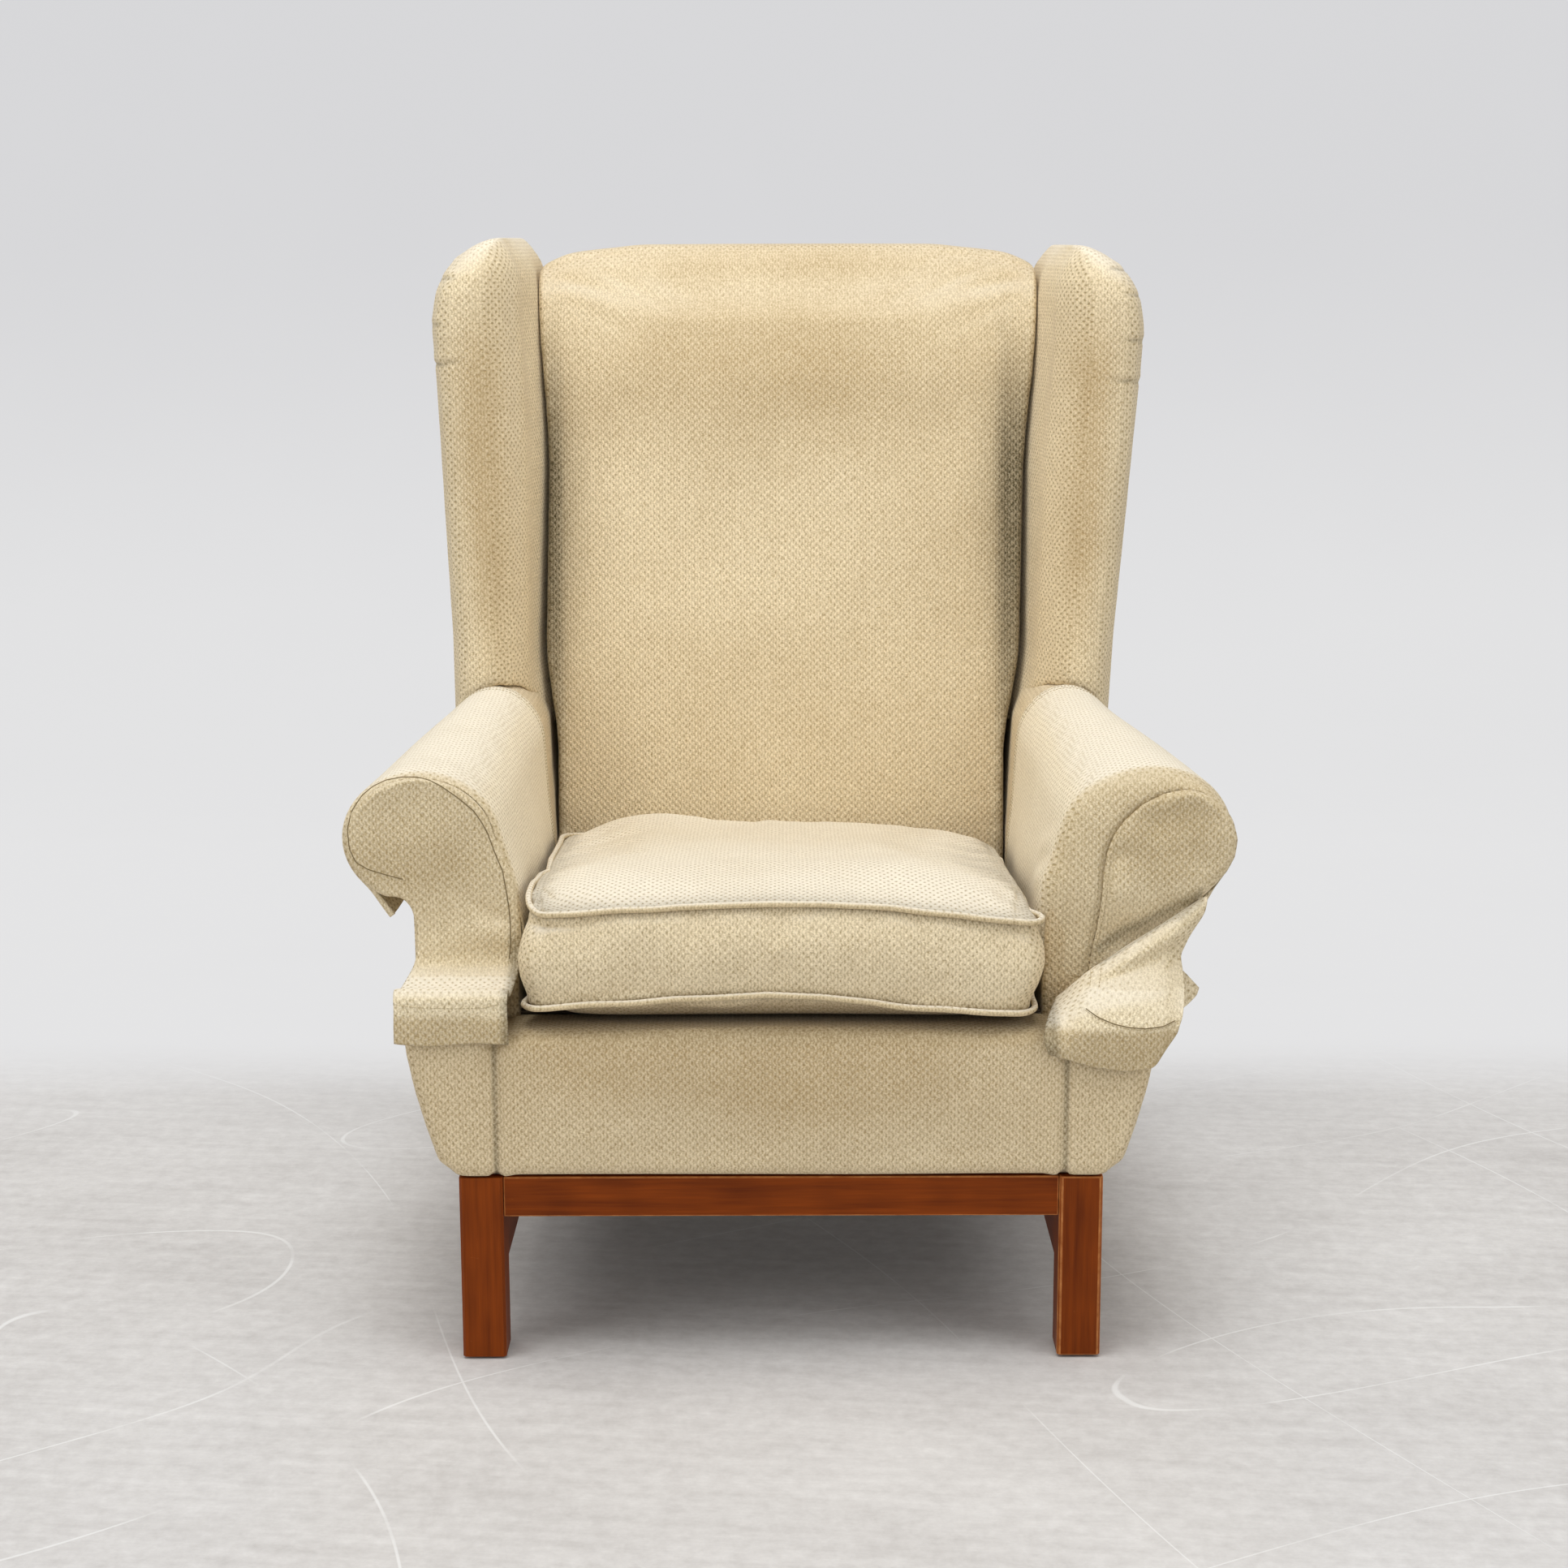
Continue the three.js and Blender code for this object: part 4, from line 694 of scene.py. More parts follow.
def piping_tree():
    tree, start, end = tree_with("piping", {"Radius": 0.004, "Material": None})
    ring = tree.nodes.new("GeometryNodeCurvePrimitiveCircle")
    ring.inputs["Resolution"].default_value = 10
    sweep = tree.nodes.new("GeometryNodeCurveToMesh")
    sweep.inputs["Fill Caps"].default_value = True
    flat = tree.nodes.new("GeometryNodeSetShadeSmooth")
    paint = tree.nodes.new("GeometryNodeSetMaterial")
    link = tree.links.new
    link(start.outputs["Radius"], ring.inputs["Radius"])
    link(start.outputs["Geometry"], sweep.inputs["Curve"])
    link(ring.outputs["Curve"], sweep.inputs["Profile Curve"])
    link(sweep.outputs["Mesh"], flat.inputs["Geometry"])
    link(flat.outputs["Geometry"], paint.inputs["Geometry"])
    link(start.outputs["Material"], paint.inputs["Material"])
    link(paint.outputs["Geometry"], end.inputs["Geometry"])
    return tree


def stitch_tree():
    inputs = {"Spacing": 0.0035, "Length": 0.0026, "Thickness": 0.0007, "Material": None}
    tree, start, end = tree_with("stitches", inputs)
    link = tree.links.new
    even = tree.nodes.new("GeometryNodeResampleCurve")
    even.mode = "LENGTH"
    to_points = tree.nodes.new("GeometryNodeCurveToPoints")
    to_points.mode = "EVALUATED"
    bead = tree.nodes.new("GeometryNodeMeshUVSphere")
    bead.inputs["Segments"].default_value = 6
    bead.inputs["Rings"].default_value = 4
    bead.inputs["Radius"].default_value = 0.5
    size = tree.nodes.new("ShaderNodeCombineXYZ")
    place = tree.nodes.new("GeometryNodeInstanceOnPoints")
    real = tree.nodes.new("GeometryNodeRealizeInstances")
    paint = tree.nodes.new("GeometryNodeSetMaterial")
    link(start.outputs["Geometry"], even.inputs["Curve"])
    link(start.outputs["Spacing"], even.inputs["Length"])
    link(even.outputs["Curve"], to_points.inputs["Curve"])
    link(to_points.outputs["Points"], place.inputs["Points"])
    link(to_points.outputs["Rotation"], place.inputs["Rotation"])
    link(bead.outputs["Mesh"], place.inputs["Instance"])
    link(start.outputs["Thickness"], size.inputs["X"])
    link(start.outputs["Thickness"], size.inputs["Y"])
    link(start.outputs["Length"], size.inputs["Z"])
    link(size.outputs["Vector"], place.inputs["Scale"])
    link(place.outputs["Instances"], real.inputs["Geometry"])
    link(real.outputs["Geometry"], paint.inputs["Geometry"])
    link(start.outputs["Material"], paint.inputs["Material"])
    link(paint.outputs["Geometry"], end.inputs["Geometry"])
    return tree


PIPING_TREE, STITCH_TREE = piping_tree(), stitch_tree()


def along(name, paths, tree, cyclic=False, **inputs):
    """A mesh made by one of the trees along one or more paths, in millimetres."""
    curve = bpy.data.curves.new(name + "_line", "CURVE")
    curve.dimensions = "3D"
    for path in paths:
        line = curve.splines.new("POLY")
        line.points.add(len(path) - 1)
        line.points.foreach_set("co", np.c_[np.asarray(path) * MM, np.ones(len(path))].ravel())
        line.use_cyclic_u = cyclic
    obj = bpy.data.objects.new(name, curve)
    bpy.context.scene.collection.objects.link(obj)
    modifier = obj.modifiers.new("line", "NODES")
    modifier.node_group = tree
    sockets = {s.name: s.identifier for s in tree.interface.items_tree if s.in_out == "INPUT"}
    for label, value in inputs.items():
        modifier[sockets[label]] = value
    evaluated = obj.evaluated_get(bpy.context.evaluated_depsgraph_get())
    mesh = bpy.data.meshes.new_from_object(evaluated)
    bpy.data.objects.remove(obj)
    made = bpy.data.objects.new(name, mesh)
    bpy.context.scene.collection.objects.link(made)
    return tidy(made)


def piping(name, paths, radius, made, cyclic=False):
    return along(name, paths, PIPING_TREE, cyclic, Radius=radius * MM, Material=made)


def stitches(name, paths, spacing=3.6, length=2.8, thick=0.75, made=None):
    sizes = {"Spacing": spacing * MM, "Length": length * MM, "Thickness": thick * MM}
    return along(name, paths, STITCH_TREE, False, Material=made or THREAD, **sizes)


print("line makers ready")

# %% [markdown]
# ## Padding that pushes back
# A stuffed piece gets its roundness from the stuffing: the skin is let go slightly small and a light
# pressure blows it up, while its seams are held. How far any point may go is capped.

# %% Stuffing


def stuffed(obj, held, start_small, cap, spare=0.0, pressure=4.0):
    """Inflates the skin. `held` is 1 on the seams that can't move and 0 where the cloth is free."""
    points, normals = arrays(obj)
    set_points(obj, points - normals * (start_small * (1 - held))[:, None])
    before, _ = arrays(obj)
    group = obj.vertex_groups.new(name="held")
    for index in np.nonzero(held > 0.05)[0]:
        group.add([int(index)], float(held[index]), "REPLACE")
    modifier = obj.modifiers.new("cloth", "CLOTH")
    cloth = modifier.settings
    cloth.quality = 5
    cloth.use_pressure = True
    cloth.uniform_pressure_force = pressure
    cloth.vertex_group_mass = "held"
    cloth.shrink_min = -spare
    cloth.effector_weights.gravity = 0
    modifier.point_cache.frame_start, modifier.point_cache.frame_end = 1, 20
    for step in range(1, 21):
        bpy.context.scene.frame_set(step)
    apply_modifiers(obj)
    after, _ = arrays(obj)
    bpy.context.scene.frame_set(1)
    obj.vertex_groups.clear()
    move = after - before
    far = np.linalg.norm(move, axis=1, keepdims=True)
    set_points(obj, before + move * np.minimum(1, cap / np.maximum(far, 1e-6)))
    return obj


print("stuffing ready")

# %% [markdown]
# ## The seat cushion
# A boxed cushion: a top and a bottom panel, a 95 mm boxing between them, and piping in both seams.
# The frame's case and core are skinned together, the seams are held on their lines and the stuffing
# blown in. Sitting has lifted the middle of the front seams and left a few short folds at the left
# front corner, and the corner of the top panel stands out as a small ear on the right.

# %% Cushion
TILT = -math.atan(SEAT_SLOPE)
CUSHION_REAR = back_front(deck_level(BACK_FRONT) + CUSHION_BOTTOM_CROWN) - 16 - WELT_RADIUS * 2 - CUSHION_EASE
CUSHION_CENTRE = (CUSHION_FRONT + CUSHION_REAR) / 2
CUSHION_HALF_DEPTH = (CUSHION_REAR - CUSHION_FRONT) / 2 / math.cos(TILT)


def to_seat(points):
    """From the flat cushion to its place on the sloping deck."""
    p = np.array(points, float)
    y, z = p[..., 1].copy(), p[..., 2].copy()
    p[..., 1] = CUSHION_CENTRE + SHIFT + y * math.cos(TILT) - z * math.sin(TILT)
    p[..., 2] = deck_level(CUSHION_CENTRE) + 0.3 + y * math.sin(TILT) + z * math.cos(TILT)
    return p


def from_seat(points):
    p = np.array(points, float)
    y = p[..., 1] - CUSHION_CENTRE - SHIFT
    z = p[..., 2] - deck_level(CUSHION_CENTRE) - 0.3
    p[..., 1] = y * math.cos(TILT) + z * math.sin(TILT)
    p[..., 2] = z * math.cos(TILT) - y * math.sin(TILT)
    return p


def cushion_ring(inset, level, count=480):
    angle = np.linspace(0, 2 * math.pi, count, endpoint=False)
    power = 2 / CUSHION_SQUARENESS
    a = np.sign(np.cos(angle)) * np.abs(np.cos(angle)) ** power
    b = np.sign(np.sin(angle)) * np.abs(np.sin(angle)) ** power
    half = mix(CUSHION_FRONT_HALF, CUSHION_REAR_HALF, (b + 1) / 2)
    x = a * (half - inset - 5 * (1 - b * b) * np.abs(a) ** 4)
    y = b * (CUSHION_HALF_DEPTH - inset - 5 * (1 - a * a) * np.abs(b) ** 4)
    return np.stack([x, y, np.full(count, level)], axis=1)


def seam_lift(points, top):
    """How the seams of the flat cushion rise and dip, and where the left one is pinched."""
    x, y = points[:, 0], points[:, 1]
    front = smooth((-y - CUSHION_HALF_DEPTH * 0.5) / (CUSHION_HALF_DEPTH * 0.5))
    across = clamp01(np.abs(x) / CUSHION_FRONT_HALF)
    right = clamp01(x / CUSHION_FRONT_HALF)
    if not top:
        return front * (6 - 15 * across**1.8 - 7 * smooth(right / 0.6))
    rear = smooth(y / CUSHION_HALF_DEPTH)
    lift = front * (-4.5 - 11 * across**1.5 - 13 * right**2.6) - 17 * right**5 * (1 - front)
    lift = lift + (front * 8 + rear * 7 * (x < 0)) * bump(np.abs(x), CUSHION_FRONT_HALF + 6, 13)
    return lift - 5 * bump(x, -CUSHION_FRONT_HALF, 30) * bump(y, -40, 24)


def spread(points, level):
    """The cushion has worked forward between the arms: its front corners stand out square and wide."""
    x, y = points[:, 0], points[:, 1]
    near = smooth((-y - CUSHION_HALF_DEPTH + 66) / 46)
    across = clamp01(np.abs(x) / CUSHION_FRONT_HALF)
    wider = np.where(x < 0, 12 - 12 * level, 7 + 10 * level) + 4 * np.sin(math.pi * level)
    corner = smooth((across - 0.84) / 0.14) * smooth((-y - CUSHION_HALF_DEPTH + 26) / 24)
    points[:, 0] = x + np.sign(x) * (wider * near * across**5 + 2 * corner)
    points[:, 1] = y - 9 * corner
    return points


def welt_path(level, top):
    path = cushion_ring(-WELT_RADIUS * 0.75, level)
    path = np.stack([np.interp(np.linspace(0, 1, 900), np.linspace(0, 1, len(path) + 1),
                               np.append(path[:, k], path[0, k])) for k in range(3)], axis=1)[:-1]
    lift = seam_lift(path, top)
    wave = ripple(path, 70, 5 + top) * 1.1
    side = np.sign(path[:, 0]) * smooth(np.abs(path[:, 0]) / 100 - 1)
    path[:, 2] += lift + wave
    path[:, 0] -= side * (1.2 + ripple(path, 90, 9 + top) * 1.6)
    path = spread(path, np.full(len(path), float(top)))
    if top:
        path[:, 0] -= 4.0 * smooth((path[:, 0] - 150) / 60) * smooth((path[:, 1] + CUSHION_HALF_DEPTH - 40) / 40)
        path[:, 0] += 5.0 * bump(path[:, 1], -40, 16) * (path[:, 0] < -150)
    return path


BOTTOM_SEAM = CUSHION_BOTTOM_CROWN
TOP_SEAM = CUSHION_BOTTOM_CROWN + CUSHION_BOXING


def make_cushion():
    obj = envelope("seat_cushion_case", ["cushion_case", "cushion_core", "cushion_zip"], 5.0, 2)
    points, _ = arrays(obj)
    flat = from_seat(points)
    level = flat[:, 2]
    edge = clamp01((CUSHION_HALF_DEPTH - np.abs(flat[:, 1])) / 60) * clamp01((CUSHION_REAR_HALF - np.abs(flat[:, 0])) / 60)
    keep = 1 - smooth(edge)
    rise = mix(seam_lift(flat, False), seam_lift(flat, True), clamp01((level - BOTTOM_SEAM) / CUSHION_BOXING))
    crown = np.maximum(level - TOP_SEAM, 0)
    flat[:, 2] += rise * smooth(level / BOTTOM_SEAM) * mix(0.5, 1.0, keep) - 0.45 * crown
    flat = spread(flat, clamp01((level - BOTTOM_SEAM) / CUSHION_BOXING))
    set_points(obj, to_seat(flat))
    seam_levels = [BOTTOM_SEAM, TOP_SEAM]
    held = np.zeros(len(flat))
    lift = [seam_lift(flat, False), seam_lift(flat, True)]
    near_side = (edge < 0.25).astype(float)
    for seam, raised in zip(seam_levels, lift):
        held = np.maximum(held, bump(flat[:, 2], seam + raised, 5.0) * near_side)
    held = np.where(held > 0.5, 1.0, 0.0)
    under = clamp01((14 - level) / 8)
    held = np.maximum(held, under)
    stuffed(obj, held, start_small=3.0, cap=11.0, spare=0.01)
    smoothed(obj, 2, 0.4)
    subdivided(obj)
    points, normals = arrays(obj)
    flat = from_seat(points)
    x, y, z = flat.T
    # short folds that fan out from the left front corner, and fainter ones on the right
    for corner, strength in ((-1, 1.0), (1, 0.5)):
        dx, dz = (x * corner - (CUSHION_FRONT_HALF - 12)) * -1, z - TOP_SEAM
        reach = np.hypot(dx, dz * 1.3)
        fan = np.sin(np.arctan2(dz, dx) * 7 + 0.6) * np.exp(-reach / 38) * smooth(reach / 12)
        front = smooth((-y - CUSHION_HALF_DEPTH * 0.5) / 60)
        tuck = 2.6 * (bump(z, TOP_SEAM - 19, 2.6) - bump(z, TOP_SEAM - 25, 3.2)) * bump(x * corner, 212, 20)
        points += normals * ((2.2 * fan + tuck) * strength * front)[:, None]
    # lines of strain along the boxing and the soft hollows of use on top
    boxing = bump(z, (BOTTOM_SEAM + TOP_SEAM) / 2, 32)
    points += normals * (ripple(flat * [1, 1, 0.4], 46, 21) * 0.9 * boxing)[:, None]
    over = bump(z, TOP_SEAM + seam_lift(flat, True) + 9, 7) * smooth((x - 190) / 30) * smooth((y + 200) / 50)
    points += normals * (4.0 * over)[:, None]
    on_top = smooth((z - TOP_SEAM - 6) / 14)
    points += normals * ((ripple(flat, 150, 22) * 2.0 + ripple(flat, 60, 23) * 0.5) * on_top)[:, None]
    rear = bump(y, CUSHION_HALF_DEPTH * 0.8, 90) * on_top
    points[:, 2] += rear * (9 * bump(x, -150, 95) + 2.5 * bump(x, -8, 16) - 5 * smooth((x - 60) / 160))
    set_points(obj, points)
    soil_and_shade = 0.25 * bump(y, CUSHION_HALF_DEPTH * 0.2, 160) * on_top + 0.12 * boxing
    painted_shade = 0.0 * x
    for seam, raised in ((BOTTOM_SEAM, seam_lift(flat, False)), (TOP_SEAM, seam_lift(flat, True))):
        painted_shade = np.maximum(painted_shade, 0.5 * bump(z, seam + raised, 6) * (boxing > 0.02))
    # painted shade under the cushion: its underside is darkened both through the shade value and through the soil value
    painted_shade = np.maximum(painted_shade, 0.5 * clamp01((20 - z) / 20))
    soil_and_shade = np.maximum(soil_and_shade, 0.6 * clamp01((BOTTOM_SEAM - z) / 8))
    attribute(obj, "soil_and_shade", soil_and_shade)
    attribute(obj, "painted_shade", painted_shade)
    dress(obj, CREAM)
    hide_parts("cushion_case")
    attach(obj, "seat_cushion")
    return obj


cushion = make_cushion()
for end, level, top in (("bottom", BOTTOM_SEAM, False), ("top", TOP_SEAM, True)):
    welt = piping(f"cushion_piping_{end}", [to_seat(welt_path(level, top))], WELT_RADIUS * 0.94, PIPING, True)
    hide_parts(f"cushion_welt_{end}")
    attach(welt, "seat_cushion")
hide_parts("cushion_core")
zip_node = dress(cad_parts["cushion_zip"], ZIP_TAPE)
print("cushion points:", len(cushion.data.vertices))

# %% [markdown]
# ## The inside back
# One padded panel between the wings, pulled down at its sides and foot. It is skinned from the
# frame's cover and foam and blown up a little; heads and backs have hollowed and darkened it.

# %% Inside back


def settle(obj, body="chair_body", replaces=()):
    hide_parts(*replaces)
    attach(obj, body)
    return obj


def make_back():
    obj = envelope("inside_back", ["back_cover_inside", "back_foam"], 6.0, 6)
    points, _ = arrays(obj)
    x, y, z = points.T
    front = y - SHIFT - back_front(z)
    held = np.where((front > 45) | (np.abs(x) > ARM_INNER - 7) | (z < 330), 1.0, 0.0)
    stuffed(obj, held, start_small=5.0, cap=9.0)
    smoothed(obj, 3)
    points, normals = arrays(obj)
    x, y, z = points.T
    free = smooth((ARM_INNER - 2 - np.abs(x)) / 50) * smooth((40 - (y - SHIFT - back_front(z))) / 40)
    wave = ripple(points, 190, 31) * 2.2 + ripple(points * [1, 1, 0.5], 80, 32) * 0.6
    points += normals * (wave * free)[:, None]
    ahead = smooth((55 - (y - SHIFT - back_front(z))) / 50)
    points[:, 1] += ahead * (9 * smooth((z - 880) / 110) - 2.5 * bump(z, 905, 60))
    set_points(obj, leaned(points))
    head = bump(z, 905, 95) * bump(x, 0, 190)
    low = bump(z, 560, 110) * bump(x, 20, 200)
    # the soil value also rises along the top roll, darkening it and holding back the painted light of the tops
    attribute(obj, "soil_and_shade", clamp01(0.8 * head + 0.15 * low + 0.26 + 0.3 * smooth((z - 985) / 30)))
    # painted shade: a dark band on the panel beside each wing join
    side = clamp01(1 - (ARM_INNER - np.abs(x)) / (30 + 26 * bump(z, 760, 170)))
    depth = 0.24 + 0.38 * bump(z, 760, 200)
    join = smooth((np.abs(x) - ARM_INNER + 14) / 12)
    attribute(obj, "painted_shade", clamp01((depth * side**1.9 + 0.35 * join) * smooth((1020 - z) / 230)))
    dress(obj, CREAM)
    return settle(obj, replaces=("back_cover_inside", "back_foam"))


back = make_back()
print("back points:", len(back.data.vertices))

# %% [markdown]
# ## The wings
# Each wing is padded over its front edge and closed by a seam down its outer side, where the inside
# cloth meets the outside one. On the tight outer curve the cloth is folded into small pleats.

# %% Wings
WING_PLEATS = {"left": [(364, 1000, 22, 2.0), (379, 952, 20, 2.2), (379, 912, 44, 4.2)],
               "right": [(352, 1016, 20, 1.8), (368, 988, 22, 2.2), (379, 938, 36, 3.2), (379, 893, 56, 4.0)]}


def wing_seam(side, low=520.0, high=1012.0):
    z = np.linspace(low, high, 200)
    x = side * (wing_outer(z) + 0.5)
    y = wing_front(z) + WING_EDGE_DEPTH * 0.36 + 4 * np.sin(z / 60)
    return put(np.stack([x, y, z], axis=1))


def make_wing(side_name, side):
    nodes = [f"wing_{part}_{side_name}" for part in ("cover", "padding", "board")]
    obj = envelope(f"wing_{side_name}_padded", nodes, 3.4, 16)
    points, normals = arrays(obj)
    x, y, z = points.T
    front = y - SHIFT - wing_front(z)
    gap, _ = distance_to(points, wing_seam(side))
    points -= normals * (2.2 * bump(gap, 0, 5))[:, None]
    points += normals * (1.6 * bump(gap, 12, 9))[:, None]
    pleats = np.zeros(len(x))
    for px, pz, length, depth in WING_PLEATS[side_name]:
        across = (z - pz) + (x * side - px) * 0.12
        run = smooth((x * side - px + length) / length * 1.6) * smooth((70 - front) / 40)
        pleats = np.maximum(pleats, run * bump(across, 0, 1.7))
        points -= normals * (0.5 * depth * run * (bump(across, 0, 2.2) - 0.4 * bump(across, 6.5, 5)))[:, None]
    face = smooth((40 - front) / 30)
    points += normals * ((ripple(points * [1, 1, 0.6], 90, 41 + side) * 1.4) * face)[:, None]
    set_points(obj, leaned(points, side))
    across = (x * side - ARM_INNER) / (wing_outer(z) - ARM_INNER)
    band = bump(across, 0.62 + 0.04 * side, 0.2) * smooth((z - 560) / 160) * smooth((1000 - z) / 110)
    attribute(obj, "soil_and_shade", clamp01(0.9 * band + 0.12))
    # painted shade at the join with the back, along the outer seam and in the pleats
    inner = clamp01(1 - (x * side - ARM_INNER) / 5) * smooth((1000 - z) / 30) * smooth((front - 12) / 30)
    attribute(obj, "painted_shade", clamp01(0.6 * inner + 0.35 * bump(gap, 0, 3) + 0.42 * pleats))
    # painted light: the inner part of the wing's face is painted paler, as the light falls there
    attribute(obj, "painted_light", 0.45 * smooth((0.42 - across) / 0.3) * smooth((60 - front) / 30))
    dress(obj, CREAM)
    return settle(obj, replaces=nodes[:2])


for side_name, side in SIDES.items():
    make_wing(side_name, side)
    # painted shade: a dark line along the wing's outer seam
    line = leaned(wing_seam(side) + [side * -1.6, 0, 0], side)
    seam = piping(f"wing_{side_name}_seam", [line], 0.8, SEAM_SHADOW_LINE)
    settle(seam)
print("wings done")

# %% [markdown]
# ## The fixed arms
# Under its loose cover each arm is covered in the chair's own cloth. Only the strip before the wing,
# the underside of the scroll and the outer edge of the stem show.

# %% Arms
CAP_EASE, CAP_CLOTH = 0.6, 2.4
CAP_INNER_HEM, CAP_OUTER_HEM, CAP_FRONT_HEM = 356.0, 443.0, 313.0
CAP_REAR = WING_FRONT - 2


def make_arm(side_name, side):
    nodes = [f"arm_{part}_{side_name}" for part in ("upholstery", "padding", "front_board", "board")]
    obj = envelope(f"arm_{side_name}_covered", nodes, 5.0, 3)
    points, normals = arrays(obj)
    x, y, z = points.T
    under = smooth((CAP_REAR - 6 - (y - SHIFT)) / 8) * smooth((z - 350) / 10)
    points -= normals * (1.6 * under + 0.5)[:, None]
    bare = 1 - under
    points += normals * (ripple(points, 60, 51 + side) * 0.7 * bare)[:, None]
    set_points(obj, points)
    attribute(obj, "soil_and_shade", np.full(len(points), 0.5))
    # painted shade where the arm meets the wing
    attribute(obj, "painted_shade", clamp01(bump(y - SHIFT, wing_front(z) - 2, 7) * 0.6))
    dress(obj, CREAM)
    return settle(obj, replaces=nodes[:2])


for side_name, side in SIDES.items():
    make_arm(side_name, side)
print("arms covered")

# %% [markdown]
# ## The front of the seat
# One padded front: two side boxes that carry the ledges, and a lower apron sewn between them. The
# two seams are pulled in a little, and the cloth's turned lower edge hangs a few millimetres over
# the rail, not quite straight.

# %% Front border


def make_border():
    obj = envelope("seat_front", ["front_border_cover", "front_border_pad"], 4.0, 4)
    points, normals = arrays(obj)
    x, y, z = points.T
    ahead = smooth((-395 - (y - SHIFT)) / 8)
    for side in (-1, 1):
        line = side * (BOX_SEAM + 1.5 * np.sin(z / 21 + side))
        points -= normals * (3.2 * ahead * bump(x, line, 3.6))[:, None]
        points += normals * (1.2 * ahead * bump(x, line - 9 * side, 6))[:, None]
    full = smooth((z - SEAT_BOTTOM) / 40) * smooth((BOX_SEAM - 12 - np.abs(x)) / 50)
    wave = ripple(points * [1, 1, 0.5], 120, 61) * 1.5 + ripple(points * [1, 1, 0.3], 40, 62) * 0.4
    points += normals * ((3.0 * bump(z, 262, 52) + wave) * ahead * full)[:, None]
    low = smooth((SEAT_BOTTOM + 16 - z) / 16) * smooth((-402 - (y - SHIFT)) / 5)
    box = smooth((np.abs(x) - BOX_SEAM) / 6)
    points[:, 2] -= low * (2.2 + 3.2 * box + 1.3 * ripple(points * [1, 0, 0], 130, 63))
    set_points(obj, points)
    patch = bump(x, 40, 130) * bump(z, 285, 50) * 0.8 + bump(x, -150, 110) * bump(z, 300, 40) * 0.6
    # painted shade: the apron's top roll under the cushion is darkened, through the soil value and the shade value; the
    # two patches above are stains
    edge = smooth((z - APRON_TOP + 24) / 14) * (np.abs(x) < BOX_SEAM)
    attribute(obj, "soil_and_shade", clamp01(0.5 + patch + 0.5 * edge))
    attribute(obj, "painted_shade", clamp01(0.75 * ahead * (bump(x, BOX_SEAM, 2.2) + bump(x, -BOX_SEAM, 2.2))
                                     + 0.4 * smooth((z - APRON_TOP + 20) / 16) * (np.abs(x) < BOX_SEAM)))
    dress(obj, CREAM)
    return settle(obj, replaces=("front_border_cover", "front_border_pad"))


make_border()
print("seat front done")

# %% [markdown]
# ## Stretched sheets
# The outside arms, the outside back, the deck under the cushion and the black lining below are single
# sheets pulled over the frame and tacked. Each starts as a grid of points on the frame's own lines,
# waves a little where it is pulled unevenly, and gets the thickness of its cloth.

# %% Sheets


def sheet_piece(name, grids, thick, made, node, soil_and_shade=0.3):
    obj = cloth_shell(name, grids, thick)
    points, _ = arrays(obj)
    attribute(obj, "soil_and_shade", np.full(len(points), soil_and_shade))
    attribute(obj, "painted_shade", np.zeros(len(points)))
    dress(obj, made)
    settle(obj, replaces=(node,))
    return obj


def scroll_underside(y):
    half, centre, level = scroll_at(arm_share(y))
    return level - SCROLL_HALF_HEIGHT * math.sin(0.31 * math.pi)


def side_grid(side):
    rows, columns = 60, 110
    grid = np.zeros((rows, columns, 3))
    for c, share in enumerate(np.linspace(0, 1, columns)):
        v = np.linspace(0, 1, rows)
        low_y = mix(ARM_FRONT, back_rear(SEAT_BOTTOM) - 3, share)
        top = scroll_underside(low_y) - 0.5
        z = mix(SEAT_BOTTOM + 0.4, top, v)
        y = mix(ARM_FRONT, back_rear(z) - 3.4, share)
        grid[:, c] = np.stack([body_half(z), y, z], axis=1)
    flat = grid.reshape(-1, 3)
    v = (flat[:, 2] - SEAT_BOTTOM) / 260
    pulls = np.sin(flat[:, 1] / 11) * 0.5 * bump(v, 0.05, 0.12)
    wave = (ripple(flat * [1, 1, 0.4], 130, 71) - 1) * 0.9 + pulls
    flat[:, 0] += wave * smooth(v * 8) * smooth((1 - v) * 6) - 0.2
    grid = flat.reshape(grid.shape)
    grid[..., 0] *= side
    return put(grid if side > 0 else grid[:, ::-1])


